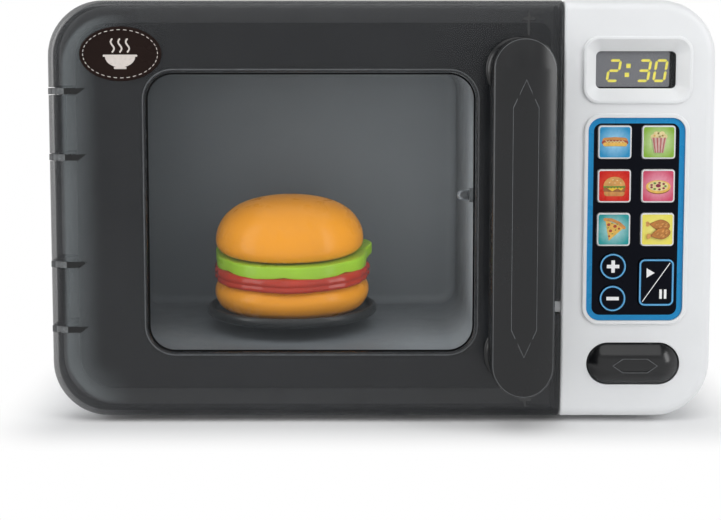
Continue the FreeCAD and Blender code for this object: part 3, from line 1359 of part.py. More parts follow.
def gear(teeth, x, low, high, phase):
    """Spur gear with involute teeth, one tooth centred at the phase angle."""
    pitch = GEAR_MODULE * teeth / 2
    base = pitch * math.cos(PRESSURE_ANGLE)
    root = pitch - DEDENDUM_SHARE * GEAR_MODULE
    tip = pitch + ADDENDUM_SHARE * GEAR_MODULE
    start = max(root, base)
    half_at_pitch = math.pi / (2 * teeth) - GEAR_BACKLASH / (2 * pitch)
    radii = [start + (tip - start) * step / FLANK_STEPS for step in range(FLANK_STEPS + 1)]

    def half_angle(radius):
        slope = math.acos(min(base / radius, 1))
        return half_at_pitch + involute(PRESSURE_ANGLE) - involute(slope)

    flank = [(root, half_angle(start))] if root < base else []
    flank += [(radius, half_angle(radius)) for radius in radii]
    points = []
    for tooth in range(teeth):
        middle = phase + 2 * math.pi * tooth / teeth
        for side, run in ((-1, flank), (1, reversed(flank))):
            for radius, half in run:
                angle = middle + side * half
                points.append(
                    Vector(x + radius * math.cos(angle), at(TURNTABLE_DEPTH) + radius * math.sin(angle), low)
                )
    wire = Part.makePolygon(points + points[:1])
    return Part.Face(wire).extrude(Vector(0, 0, high - low))


def involute(angle):
    """Involute function of a pressure angle."""
    return math.tan(angle) - angle


def turntable():
    """Dark turntable plate with a raised rim and a driven hub."""
    top = TURNTABLE_BOTTOM + TURNTABLE_RIM_HEIGHT
    plate = rod_z(TURNTABLE_X, TURNTABLE_DEPTH, TURNTABLE_RADIUS, TURNTABLE_BOTTOM, top)
    plate = plate.cut(
        rod_z(
            TURNTABLE_X, TURNTABLE_DEPTH, TURNTABLE_RADIUS - TURNTABLE_RIM_WIDTH, PLATE_FLOOR, top + OVERRUN
        )
    )
    plate = soften(
        plate, TURNTABLE_RIM_FILLET,
        lambda edge: at_height(edge, top) or at_height(edge, TURNTABLE_BOTTOM),
    )
    hub = rod_z(TURNTABLE_X, TURNTABLE_DEPTH, HUB_RADIUS, HUB_BOTTOM, TURNTABLE_BOTTOM + ROOT)
    socket_top = HUB_BOTTOM + DRIVE_SQUARE_LENGTH + DRIVE_FIT
    return joined(plate, [hub]).cut(drive_square(DRIVE_FIT, HUB_BOTTOM - OVERRUN, socket_top))


def drive_square(grown, low, high):
    """Square end of the turntable shaft."""
    half = DRIVE_SQUARE / 2 + grown
    return block(
        TURNTABLE_X - half, TURNTABLE_X + half, TURNTABLE_DEPTH - half, TURNTABLE_DEPTH + half, low, high
    )


def drive_gear():
    """Gear and shaft that carry the turntable."""
    wheel = gear(DRIVE_TEETH, TURNTABLE_X, DRIVE_GEAR_BOTTOM, DRIVE_GEAR_TOP, 0)
    shaft = rod_z(TURNTABLE_X, TURNTABLE_DEPTH, SHAFT_RADIUS, GEARBOX_BOTTOM, HUB_BOTTOM)
    return joined(wheel, [shaft, drive_square(0, HUB_BOTTOM - ROOT, HUB_BOTTOM + DRIVE_SQUARE_LENGTH)])


def idler_gear():
    """Compound idler: the small gear drives the turntable, the motor drives the large one."""
    small_phase = math.pi + math.pi / IDLER_SMALL_TEETH
    small = gear(IDLER_SMALL_TEETH, IDLER_X, IDLER_LARGE_TOP, DRIVE_GEAR_TOP, small_phase)
    large = gear(IDLER_LARGE_TEETH, IDLER_X, IDLER_LARGE_BOTTOM, IDLER_LARGE_TOP, 0)
    bore = rod_z(
        IDLER_X, TURNTABLE_DEPTH, IDLER_AXLE_RADIUS + RUNNING,
        IDLER_LARGE_BOTTOM - OVERRUN, DRIVE_GEAR_TOP + OVERRUN,
    )
    return joined(large, [small]).cut(bore)


def idler_axle():
    """Fixed axle of the idler."""
    top = DRIVE_GEAR_TOP + IDLER_AXLE_RISE
    return rod_z(IDLER_X, TURNTABLE_DEPTH, IDLER_AXLE_RADIUS, GEARBOX_BOTTOM, top)


def motor_pinion():
    """Pinion on the motor shaft."""
    phase = math.pi + math.pi / PINION_TEETH
    pinion = gear(PINION_TEETH, MOTOR_X, IDLER_LARGE_BOTTOM, IDLER_LARGE_TOP, phase)
    return pinion.cut(
        rod_z(
            MOTOR_X, TURNTABLE_DEPTH, MOTOR_SHAFT_RADIUS,
            IDLER_LARGE_BOTTOM - OVERRUN, IDLER_LARGE_TOP + OVERRUN,
        )
    )


def motor_shaft():
    """Steel shaft of the motor."""
    low = GEARBOX_BOTTOM - MOTOR_SHAFT_DEPTH
    return rod_z(MOTOR_X, TURNTABLE_DEPTH, MOTOR_SHAFT_RADIUS, low, IDLER_LARGE_TOP)


def motor():
    """Flat motor hung under the gearbox plate."""
    can = rod_z(MOTOR_X, TURNTABLE_DEPTH, MOTOR_RADIUS, GEARBOX_BOTTOM - MOTOR_HEIGHT, GEARBOX_BOTTOM)
    bore_low = GEARBOX_BOTTOM - MOTOR_SHAFT_DEPTH - SLIP
    return can.cut(
        rod_z(MOTOR_X, TURNTABLE_DEPTH, MOTOR_SHAFT_RADIUS + RUNNING, bore_low, GEARBOX_BOTTOM + OVERRUN)
    )


def gearbox_plate():
    """Plate under the liner that carries the gears and the motor."""
    plate = table(
        GEARBOX_LEFT, GEARBOX_RIGHT,
        TURNTABLE_DEPTH - GEARBOX_HALF_DEPTH, TURNTABLE_DEPTH + GEARBOX_HALF_DEPTH,
        GEARBOX_RADIUS, GEARBOX_BOTTOM, GEARBOX_TOP,
    )
    holes = [
        (TURNTABLE_X, TURNTABLE_DEPTH, SHAFT_RADIUS + RUNNING),
        (IDLER_X, TURNTABLE_DEPTH, IDLER_AXLE_RADIUS),
        (MOTOR_X, TURNTABLE_DEPTH, MOTOR_SHAFT_RADIUS + MOTOR_HOLE_GAP),
    ]
    holes += [(x, depth, GEARBOX_SCREW_RADIUS + RUNNING) for x, depth in GEARBOX_POSTS]
    return plate.cut(
        [
            rod_z(x, depth, radius, GEARBOX_BOTTOM - OVERRUN, GEARBOX_TOP + OVERRUN)
            for x, depth, radius in holes
        ]
    )


def gearbox_screws():
    """Screws that hold the gearbox plate to the liner posts."""
    screws = []
    for x, depth in GEARBOX_POSTS:
        shank = rod_z(x, depth, GEARBOX_SCREW_RADIUS, GEARBOX_BOTTOM, GEARBOX_TOP + GEARBOX_SCREW_GRIP)
        head = rod_z(x, depth, GEARBOX_HEAD_RADIUS, GEARBOX_BOTTOM - GEARBOX_HEAD_HEIGHT, GEARBOX_BOTTOM)
        screws.append(joined(shank, [head]))
    return Part.makeCompound(screws)


def speaker():
    """Loudspeaker held against the rear wall, facing back."""
    rim_front = REAR_WALL_FRONT - SPEAKER_RIM_THICKNESS
    basket_front = rim_front - SPEAKER_CONE_DEPTH
    rim = rod_y(CONTROL_X, SPEAKER_Z, SPEAKER_RADIUS, rim_front, REAR_WALL_FRONT)
    axis = Vector(0, 1, 0)
    place = Vector(CONTROL_X, at(basket_front), SPEAKER_Z)
    mouth = SPEAKER_RADIUS - SPEAKER_RIM
    basket = Part.makeCone(SPEAKER_BASKET_RADIUS, mouth, SPEAKER_CONE_DEPTH, place, axis)
    magnet = rod_y(
        CONTROL_X, SPEAKER_Z, SPEAKER_MAGNET_RADIUS, basket_front - SPEAKER_MAGNET_HEIGHT, basket_front + ROOT
    )
    body = joined(rim, [basket, magnet])
    hollow_place = Vector(CONTROL_X, at(basket_front + SPEAKER_SKIN), SPEAKER_Z)
    hollow_height = REAR_WALL_FRONT - basket_front - SPEAKER_SKIN
    hollow = Part.makeCone(
        SPEAKER_CAP_RADIUS, SPEAKER_RADIUS - SPEAKER_RIM - SPEAKER_SKIN, hollow_height, hollow_place, axis
    )
    return body.cut(hollow)


def battery_box():
    """Open box for the cells on the inside of the rear wall, with a lug for the cover screw."""
    box = block(
        BATTERY_LEFT - BATTERY_WALL, BATTERY_RIGHT + BATTERY_WALL, BATTERY_FRONT, REAR_WALL_FRONT,
        BATTERY_BOTTOM - BATTERY_WALL, BATTERY_TOP + BATTERY_WALL,
    )
    lug = block(
        CONTROL_X - BATTERY_LUG / 2, CONTROL_X + BATTERY_LUG / 2, BATTERY_FRONT, REAR_WALL_FRONT,
        BATTERY_TOP, BATTERY_TOP + BATTERY_LUG,
    )
    box = joined(box, [lug])
    hollow = block(
        BATTERY_LEFT, BATTERY_RIGHT, BATTERY_FLOOR_DEPTH, BODY_DEPTH, BATTERY_BOTTOM, BATTERY_TOP
    )
    pilot_front = COVER_FRONT + COVER_HEAD_HEIGHT - COVER_SCREW_LENGTH
    pilot = rod_y(CONTROL_X, COVER_SCREW_Z, COVER_SCREW_RADIUS + RUNNING, pilot_front - SLIP, BODY_DEPTH)
    return box.cut([hollow, pilot])


def cell_side(row):
    """Side that the positive end of a cell points to."""
    return 1 if row % 2 == 0 else -1


def battery_cells():
    """Three dry cells side by side, every other one turned round."""
    cells = []
    for row, z in enumerate(CELL_HEIGHTS):
        nub_space = CONTACT_THICKNESS + CELL_NUB_LENGTH
        spring_space = CONTACT_THICKNESS + CONTACT_SPRING_LENGTH
        if cell_side(row) > 0:
            left = BATTERY_LEFT + spring_space
            nub = (left + CELL_LENGTH, left + CELL_LENGTH + CELL_NUB_LENGTH)
        else:
            left = BATTERY_LEFT + nub_space
            nub = (left - CELL_NUB_LENGTH, left)
        can = rod_x(CELL_DEPTH, z, CELL_RADIUS, left, left + CELL_LENGTH)
        cells.append(joined(can, [rod_x(CELL_DEPTH, z, CELL_NUB_RADIUS, nub[0], nub[1])]))
    return Part.makeCompound(cells)


def battery_contacts():
    """Flat and sprung contacts at both ends of the cells."""
    contacts = []
    half = CONTACT_WIDTH / 2
    for row, z in enumerate(CELL_HEIGHTS):
        for side, wall in ((-1, BATTERY_LEFT), (1, BATTERY_RIGHT)):
            inner = wall - side * CONTACT_THICKNESS
            low, high = sorted((wall, inner))
            plate = block(low, high, CELL_DEPTH - half, CELL_DEPTH + half, z - half, z + half)
            if side != cell_side(row):
                start, finish = sorted((inner, inner - side * CONTACT_SPRING_LENGTH))
                plate = joined(plate, [rod_x(CELL_DEPTH, z, CONTACT_SPRING_RADIUS, start, finish)])
            contacts.append(plate)
    return Part.makeCompound(contacts)


def battery_cover():
    """Cover over the cells, flush with the rear wall."""
    cover = slab(
        COVER_LEFT, COVER_RIGHT, COVER_BOTTOM, COVER_TOP, even(COVER_RADIUS), COVER_FRONT, BODY_DEPTH
    )
    sink = BODY_DEPTH - COVER_HEAD_HEIGHT
    head = rod_y(CONTROL_X, COVER_SCREW_Z, COVER_HEAD_RADIUS, sink, BODY_DEPTH + OVERRUN)
    shank = rod_y(CONTROL_X, COVER_SCREW_Z, COVER_SCREW_RADIUS, COVER_FRONT - OVERRUN, BODY_DEPTH)
    return cover.cut([head, shank])


def battery_cover_screw():
    """Captive screw of the battery cover."""
    head_front = BODY_DEPTH - COVER_HEAD_HEIGHT
    return screw_y(
        CONTROL_X, COVER_SCREW_Z, head_front, COVER_HEAD_RADIUS, COVER_HEAD_HEIGHT,
        COVER_SCREW_RADIUS, head_front - COVER_SCREW_LENGTH,
    )


def burger_point(radius, height):
    """Point of a burger profile at this radius."""
    return Vector(TURNTABLE_X + radius, at(TURNTABLE_DEPTH), height)


def bun_base():
    """Lower half of the bun, bulging at the waist."""
    low = PLATE_FLOOR
    waist = low + BUN_BASE_WAIST
    high = low + BUN_BASE_HEIGHT
    side = Part.Arc(
        burger_point(BUN_BASE_FOOT_RADIUS, low),
        burger_point(BUN_BASE_RADIUS, waist),
        burger_point(BUN_BASE_TOP_RADIUS, high),
    ).toShape()
    profile = [
        Part.makeLine(burger_point(0, low), burger_point(BUN_BASE_FOOT_RADIUS, low)),
        side,
        Part.makeLine(burger_point(BUN_BASE_TOP_RADIUS, high), burger_point(0, high)),
        Part.makeLine(burger_point(0, high), burger_point(0, low)),
    ]
    return revolved(profile, TURNTABLE_X, TURNTABLE_DEPTH)


def wavy_disc(radius, wave, wave_count, low, thickness):
    """Flat disc with a wavy outline."""
    steps = wave_count * WAVE_STEPS
    points = []
    for step in range(steps):
        angle = 2 * math.pi * step / steps
        reach = radius + wave * math.cos(wave_count * angle)
        points.append(
            Vector(TURNTABLE_X + reach * math.cos(angle), at(TURNTABLE_DEPTH) + reach * math.sin(angle), low)
        )
    outline = Part.BSplineCurve()
    outline.interpolate(Points=points, PeriodicFlag=True)
    return Part.Face(Part.Wire(outline.toShape())).extrude(Vector(0, 0, thickness))


def patty():
    """Burger patty."""
    return wavy_disc(PATTY_RADIUS, PATTY_WAVE, PATTY_WAVE_COUNT, PATTY_BOTTOM, PATTY_THICKNESS)


def lettuce():
    """Lettuce leaf between the patty and the crown."""
    return wavy_disc(LETTUCE_RADIUS, LETTUCE_WAVE, LETTUCE_WAVE_COUNT, LETTUCE_BOTTOM, LETTUCE_THICKNESS)


def bun_crown():
    """Domed upper half of the bun."""
    shoulder = CROWN_BOTTOM + BUN_CROWN_SKIRT
    top = shoulder + BUN_CROWN_DOME
    run = BUN_CROWN_RADIUS - BUN_CROWN_SIDE
    rise = BUN_CROWN_DOME - BUN_CROWN_SIDE
    dome_radius = (run ** 2 + BUN_CROWN_DOME ** 2 - BUN_CROWN_SIDE ** 2) / (2 * rise)
    dome_middle = burger_point(0, top - dome_radius)
    side_middle = burger_point(run, shoulder)
    outward = (side_middle - dome_middle).normalize()
    meeting = dome_middle + outward * dome_radius
    side_ray = (outward + Vector(1, 0, 0)).normalize()
    dome_ray = (outward + Vector(0, 0, 1)).normalize()
    foot = burger_point(BUN_CROWN_FOOT_RADIUS, CROWN_BOTTOM)
    brim = burger_point(BUN_CROWN_RADIUS, shoulder)
    peak = burger_point(0, top)
    profile = [
        Part.makeLine(burger_point(0, CROWN_BOTTOM), foot),
        Part.makeLine(foot, brim),
        Part.Arc(brim, side_middle + side_ray * BUN_CROWN_SIDE, meeting).toShape(),
        Part.Arc(meeting, dome_middle + dome_ray * dome_radius, peak).toShape(),
        Part.makeLine(peak, burger_point(0, CROWN_BOTTOM)),
    ]
    return revolved(profile, TURNTABLE_X, TURNTABLE_DEPTH)


PIECES = (
    front_shell, rear_shell, feet, case_screws, hinge_pins,
    door_frame, door_window, door_badge, door_handle, handle_screws,
    oven_front_frame, oven_liner, liner_screws, lamp_holder, cavity_lamp,
    display_bezel, display_lens, display_module,
    keypad_frame, keypad_plate, keypad_mat, main_board, board_screws,
    release_button, latch_tongue, latch_cover, latch_screws, latch_spring, release_spring,
    turntable, drive_gear, idler_gear, idler_axle, motor_pinion, motor_shaft, motor,
    gearbox_plate, gearbox_screws,
    speaker, battery_box, battery_cells, battery_contacts, battery_cover, battery_cover_screw,
    bun_base, patty, lettuce, bun_crown,
)


def main():
    """Builds every piece and writes one file for each."""
    os.makedirs("parts", exist_ok=True)
    for piece in PIECES:
        piece().exportStep(f"parts/{piece.__name__}.step")
    for name in KEYS:
        key(name).exportStep(f"parts/{name}.step")


if __name__ == "__main__":
    main()
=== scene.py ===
"""Looks of the toy microwave: materials, printed keys, display, play burger, light and camera."""
import json
import math

import bmesh
import bpy
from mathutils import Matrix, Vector


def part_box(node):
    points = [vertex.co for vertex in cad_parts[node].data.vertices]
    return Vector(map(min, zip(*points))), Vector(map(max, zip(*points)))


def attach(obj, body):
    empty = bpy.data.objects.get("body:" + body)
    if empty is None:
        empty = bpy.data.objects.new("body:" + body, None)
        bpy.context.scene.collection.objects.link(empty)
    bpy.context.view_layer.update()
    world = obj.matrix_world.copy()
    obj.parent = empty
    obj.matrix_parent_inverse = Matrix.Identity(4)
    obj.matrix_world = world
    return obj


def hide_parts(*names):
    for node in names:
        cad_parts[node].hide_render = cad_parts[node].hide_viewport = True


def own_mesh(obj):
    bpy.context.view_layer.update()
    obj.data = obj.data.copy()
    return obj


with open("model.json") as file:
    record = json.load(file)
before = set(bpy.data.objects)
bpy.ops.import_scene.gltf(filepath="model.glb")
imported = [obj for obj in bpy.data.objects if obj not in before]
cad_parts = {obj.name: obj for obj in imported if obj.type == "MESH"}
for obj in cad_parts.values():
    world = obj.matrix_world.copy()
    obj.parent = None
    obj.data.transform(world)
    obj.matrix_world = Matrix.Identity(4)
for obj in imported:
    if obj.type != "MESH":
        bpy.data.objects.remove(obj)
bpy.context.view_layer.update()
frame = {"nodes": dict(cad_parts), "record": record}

# Sizes are in millimetres, in the shared frame
MM = 0.001
TURN = 2 * math.pi
LAYER = 0.05
LAYER_BACK = 0.03
SAME_PLACE = 0.0001

# Key prints
FIELD_HALF = 7.25
FIELD_RADIUS = 0.9
RING_RADIUS = 6.2
RING_LINE = 0.85
RING_INKS = ((0, 1, "blue"), (0.25, 0.35, "pale_blue"))  # inset and width as shares of the line
SIGN_REACH = 3.0
SIGN_HALF_LINE = 0.85
SIGN_ROUND = 0.12
START_HALF = (8.3, 11.3)
START_RADIUS = 2.7
START_LINE = 0.9

# Display
SCREEN_RISE = 0.45
SCREEN_HALF = (17.7, 8.5)
SCREEN_SHIFT = (-1.45, 0.35)
SCREEN_RADIUS = 1.0
DIGIT_WIDE = 6.3
DIGIT_HIGH = 11.0
DIGIT_LINE = 1.25
DIGIT_BREAK = 0.2
DIGIT_LEAN = 0.16
DIGIT_DROP = 0.4
DIGIT_PLACES = (("2", -10.4), ("3", 4.1), ("0", 12.0))
COLON_X = -3.7
COLON_HEIGHTS = (1.9, -2.4)
COLON_HALF = 1.05
COLON_ROUND = 0.15

# Window trim and door ribs
PANE_LAP = 4.0
WINDOW_RADIUS = 13.2
# A black ring of painted shade stands in for the shaded groove round the pane; a pale ring on the lip is
# painted highlight
GROOVE_SHADE_OUTER = -0.3
GROOVE_SHADE_INNER = -1.2
LIP_OUTER = 1.5
LIP_INNER = 0.9
# The door ribs are paler prints: painted highlight of the ribs
RIB_SHIFT = 4.9
RIB_WIDTH = 1.2
RIB_MARGIN = 5.5
RIB_GAP = 0.6
RIB_ROUND = 0.3
RIB_CROSS_HALF = (2.9, 0.75)
RIB_CROSS_MARGIN = 9.0

# Hinge lugs of the front shell, the wall behind them, and their arms behind the smoked door, with painted
# shade and painted light on the shell and the door
LUG_HEIGHTS = (46.35, 78.05, 129.95, 161.65)
LUG_LOW = (-161.0, -62.0, 3.0)
LUG_HIGH = (80.0, -43.2, 205.0)
LUG_WALL_RIGHT = -147.0
LUG_WALL_HALF = 2.5
LUG_WALL_BACK = -42.5
LUG_FACE_LEFT = -157.6
LUG_FACE_RIGHT = -150.0
ARM_LEFT = 5.1
ARM_DARK = 8.4
ARM_FOOT = 14.6
ARM_TIP = 18.6
ARM_HALF = 1.5

# Painted highlight: a pale band inside the hinge side of the door, as ways in from its outline
BAND_CORNER = 32.0
BAND_START = 6.8
BAND_PEAK = 8.6
BAND_END = 25.0
BAND_FULL_X = -143.0
BAND_NONE_X = -122.0

# Handle and release button
PILLOW_STEPS = 20
HANDLE_SETBACK = 0.15
HANDLE_BOW = 3.4
HANDLE_NOD = 0.30
HANDLE_EDGE = 0.6
EDGE_STEPS = 4
HANDLE_RINGS = (0.99, 0.75, 0.5, 0.25, 0.1)
POST_RING = 0.9
HANDLE_BAR = 15.0
HANDLE_POST_INSET = 0.8
HANDLE_PAD_LIP = 1.1
HANDLE_PAD = 2.2
HANDLE_REACH = 29.9
HANDLE_MARK = (5.95, 64.0, 12.8)
DOME_STEPS = 12
BUTTON_DOME = 9.9
BUTTON_RISE = 5.4
BUTTON_DEEP = 7.2
BUTTON_SHELL = 2.2
BUTTON_HALF = (22.3, 10.05)
BUTTON_MARK = (3.5, 11.0, 5.0)
MARK_LINE = 0.3

# Wire springs behind the button and the latch
COIL_WIRE = 0.45
COIL_STEPS = 20
COIL_SIDES = 8
RELEASE_COIL_TURNS = 8
LATCH_COIL_TURNS = 5

# Round play food
ROUND_STEPS = 120
FOOD_LEAN = 2.6
LEAN_RADIUS = 41.0
FRONT_ANGLE = -TURN / 4
CROWN_SHIFT = -1.2
LOBES = 7
LOBE_START = math.radians(-119)
LOBE_POWER = 0.7
LOBE_REACH = 0.9
LOBE_DROOP = 1.5
TAB_POWER = 4

# Tabs of the lettuce leaf, as (direction, reach, its width, rise, its width)
LEAF_TABS = ((0.36, 5.2, 0.24, 2.6, 0.28), (2.95, 2.0, 0.16, 1.2, 0.2))

# Waves round the buns and the patty, as (reach, count, start)
BUN_WAVES = ((0.35, 2, 0.4), (0.2, 5, 0.0))
PATTY_WAVES = ((0.5, 7, 0.0), (0.3, 23, 0.7))

# Surface patterns: noise scales in waves per metre, widths and depths in metres
CLOUD_SCALE = 24
GLOSS_SCALE = 70
GLOSS_LOW = 0.85
GLOSS_HIGH = 1.2
GRAIN_DEPTH = 0.0002
FINE_DEPTH = 0.0001
WORN_SCALE = 220
WORN_EDGE = 0.0009
WORN_TURN = (0.80, 0.985)
WORN_LIFT = 0.02
METAL_TONES = (0.85, 1.1)
METAL_GLOSS = (0.8, 1.3)
DRAWN_SCALE = 600
INK_SCALE = 500
GLOW_START = 0.002
GLOW_END = 0.0085
TRACK_SCALE = 260
TRACK_LINE = 0.03


def middle(node):
    """Middle of a node's box."""
    low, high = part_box(node)
    return (Vector(low) + Vector(high)) / 2 / MM


def front(node):
    """Foremost place of a node along Y."""
    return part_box(node)[0][1] / MM


def corners(node):
    """Low and high corner of a node's box."""
    return [Vector(corner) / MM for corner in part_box(node)]


def half_size(node):
    """Half of a node's width and height."""
    low, high = corners(node)
    return (high.x - low.x) / 2, (high.z - low.z) / 2


class Graph:
    """Node tree of a world or a material."""

    def __init__(self, owner):
        owner.use_nodes = True
        self.tree = owner.node_tree
        self.tree.nodes.clear()
        self.coordinates = self.add("ShaderNodeTexCoord").outputs

    def add(self, kind, **values):
        node = self.tree.nodes.new(kind)
        for key, value in values.items():
            setattr(node, key, value)
        return node

    def link(self, source, target):
        self.tree.links.new(source, target)

    def axes(self, vector):
        """X, Y and Z of a vector."""
        split = self.add("ShaderNodeSeparateXYZ")
        self.link(vector, split.inputs["Vector"])
        return split.outputs

    def ranged(self, source, low, high, start=0.3, finish=0.7):
        """Source read from start to finish and given out from low to high."""
        node = self.add("ShaderNodeMapRange")
        self.link(source, node.inputs["Value"])
        node.inputs["From Min"].default_value = start
        node.inputs["From Max"].default_value = finish
        node.inputs["To Min"].default_value = low
        node.inputs["To Max"].default_value = high
        return node.outputs["Result"]

    def feed(self, sockets, values):
        """Values put into sockets, by a link where a value is itself a socket."""
        for socket, value in zip(sockets, values):
            if hasattr(value, "node"):
                self.link(value, socket)
            else:
                socket.default_value = value

    def math(self, operation, *values):
        """Math node on sockets or plain numbers."""
        node = self.add("ShaderNodeMath", operation=operation)
        self.feed(node.inputs, values)
        return node.outputs["Value"]

    def vector(self, operation, *values):
        """Outputs of a vector math node on sockets or plain vectors."""
        node = self.add("ShaderNodeVectorMath", operation=operation)
        self.feed(node.inputs, values)
        return node.outputs

    def blend(self, factor, first, second):
        """Mix of two shaders."""
        node = self.add("ShaderNodeMixShader")
        self.feed(node.inputs, (factor, first, second))
        return node.outputs["Shader"]

    def product(self, first, *others):
        """All the values multiplied."""
        for value in others:
            first = self.math("MULTIPLY", first, value)
        return first


class Surface(Graph):
    """Node tree of one material, with a Principled shader wired to the output."""

    def __init__(self, name):
        self.material = bpy.data.materials.new(name)
        super().__init__(self.material)
        self.output = self.add("ShaderNodeOutputMaterial")
        self.shader = self.add("ShaderNodeBsdfPrincipled")
        self.link(self.shader.outputs["BSDF"], self.output.inputs["Surface"])
        self.place = self.coordinates["Object"]

    def paint(self, colour, rough):
        """Colour and roughness of the shader, both from nodes."""
        self.link(colour, self.shader.inputs["Base Color"])
        self.link(rough, self.shader.inputs["Roughness"])

    def set(self, **values):
        """Plain values on the shader's own sockets."""
        for key, value in values.items():
            self.shader.inputs[key.replace("_", " ")].default_value = value

    def noise(self, scale, detail=3.0, stretch=(1, 1, 1)):
        """Noise over the object's own coordinates, from 0 to 1."""
        node = self.add("ShaderNodeTexNoise")
        node.inputs["Scale"].default_value = scale
        node.inputs["Detail"].default_value = detail
        mapping = self.add("ShaderNodeMapping")
        mapping.inputs["Scale"].default_value = stretch
        self.link(self.place, mapping.inputs["Vector"])
        self.link(mapping.outputs["Vector"], node.inputs["Vector"])
        return node.outputs["Fac"]

    def mix(self, factor, first, second):
        """Blend of two colours, each a socket or a plain colour."""
        node = self.add("ShaderNodeMix", data_type="RGBA")
        self.link(factor, node.inputs["Factor"])
        colours = [value if hasattr(value, "node") else (*value, 1) for value in (first, second)]
        self.feed(node.inputs[6:8], colours)
        return node.outputs[2]

    def toned(self, source, colour, tone):
        """Colour that goes a little darker and lighter with the source."""
        return self.mix(self.ranged(source, 0, 1), shade(colour, 1 - tone), shade(colour, 1 + tone))

    def inside(self, low, high):
        """Mask of the places inside a box of the shared frame."""
        masks = []
        for axis, start, finish in zip(self.axes(self.place), low, high):
            masks.append(self.math("COMPARE", axis, (start + finish) / 2 * MM, (finish - start) / 2 * MM))
        return self.product(*masks)

    def painted_hinge_highlight(self):
        """Mask of a painted highlight: a soft band that follows the hinge side of the door and its round
        corners.
        """
        low, high = (Vector(corner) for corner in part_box("door_frame"))
        corner = BAND_CORNER * MM
        axes = self.axes(self.place)
        across = self.math("SUBTRACT", low.x + corner, axes["X"])
        up = self.math("ABSOLUTE", self.math("SUBTRACT", axes["Z"], (low.z + high.z) / 2))
        above = self.math("SUBTRACT", up, (high.z - low.z) / 2 - corner)
        squares = [self.math("POWER", self.math("MAXIMUM", way, 0.0), 2.0) for way in (across, above)]
        inset = self.math("SUBTRACT", corner, self.math("SQRT", self.math("ADD", *squares)))
        rising = self.ranged(inset, 0, 1, BAND_START * MM, BAND_PEAK * MM)
        falling = self.ranged(inset, 1, 0, BAND_PEAK * MM, BAND_END * MM)
        side = self.ranged(axes["X"], 1, 0, BAND_FULL_X * MM, BAND_NONE_X * MM)
        return self.product(rising, falling, side)

    def edges(self, radius):
        """Mask of the edges that hands and cloths rub, broken up by noise."""
        bevel = self.add("ShaderNodeBevel", samples=4)
        bevel.inputs["Radius"].default_value = radius
        flat = self.add("ShaderNodeNewGeometry")
        dot = self.vector("DOT_PRODUCT", bevel.outputs["Normal"], flat.outputs["Normal"])
        rim = self.ranged(dot["Value"], 1, 0, *WORN_TURN)
        return self.math("MULTIPLY", rim, self.ranged(self.noise(WORN_SCALE, 4), 0.2, 1))

    def bump(self, height, strength, distance):
        node = self.add("ShaderNodeBump")
        node.inputs["Strength"].default_value = strength
        node.inputs["Distance"].default_value = distance
        self.link(height, node.inputs["Height"])
        self.link(node.outputs["Normal"], self.shader.inputs["Normal"])


def shade(colour, factor):
    """Colour made lighter or darker."""
    return tuple(min(1.0, part * factor) for part in colour)


def plastic(
    name, colour, rough, tone=0.05, grain=1500, relief=0.06, wear=0.0, gain=1.5, patches=(),
    shine=0.5, alpha=1.0,
):
    """Moulded plastic: uneven tone, fine moulded grain, patchy gloss and rubbed edges."""
    graph = Surface(name)
    tint = graph.toned(graph.noise(CLOUD_SCALE, 4), colour, tone)
    if wear:
        rubbed = graph.ranged(graph.edges(WORN_EDGE), 0, wear, 0, 1)
        tint = graph.mix(rubbed, tint, tuple(min(1.0, part * gain + WORN_LIFT) for part in colour))
    for patch, mask, *where in patches:
        tint = graph.mix(mask(graph, *where), tint, patch)
    graph.paint(tint, graph.ranged(graph.noise(GLOSS_SCALE, 5), rough * GLOSS_LOW, rough * GLOSS_HIGH))
    graph.bump(graph.noise(grain, 2), relief, GRAIN_DEPTH)
    graph.set(Specular_IOR_Level=shine, Alpha=alpha)
    return graph.material


def metal(name, colour, rough, stretch):
    """Metal with fine drawn lines and uneven gloss."""
    graph = Surface(name)
    lines = graph.noise(DRAWN_SCALE, 3, stretch)
    tones = [shade(colour, tone) for tone in METAL_TONES]
    tint = graph.mix(graph.ranged(lines, 0, 1), *tones)
    graph.paint(tint, graph.ranged(lines, *(rough * share for share in METAL_GLOSS)))
    graph.bump(lines, 0.12, FINE_DEPTH)
    graph.set(Metallic=1.0)
    return graph.material


def ink(name, colour, rough=0.3, tone=0.05, glow=0.0, shine=0.5):
    """Printed ink with slightly uneven cover."""
    graph = Surface(name)
    cover = graph.noise(INK_SCALE, 4)
    tint = graph.toned(cover, colour, tone)
    graph.paint(tint, graph.ranged(cover, rough * GLOSS_LOW, rough * GLOSS_HIGH))
    # Glow gives the ink light of its own: painted light
    if glow:
        graph.link(tint, graph.shader.inputs["Emission Color"])
        graph.set(Emission_Strength=glow)
    graph.bump(cover, 0.04, FINE_DEPTH)
    graph.set(Specular_IOR_Level=shine)
    return graph.material


def field_ink(name, colour, glow):
    """Printed ground of a key, lighter in the middle."""
    graph = Surface(name)
    away = graph.vector("LENGTH", graph.place)["Value"]
    spread = graph.ranged(away, 1, 0, GLOW_START, GLOW_END)
    speckle = graph.ranged(graph.noise(700, 3), 0.75, 1)
    tint = graph.mix(graph.math("MULTIPLY", spread, speckle), colour, glow)
    graph.paint(tint, graph.ranged(graph.noise(300, 3), 0.22, 0.36))
    graph.bump(graph.noise(900, 2), 0.03, FINE_DEPTH)
    graph.set(Specular_IOR_Level=0.25)
    return graph.material


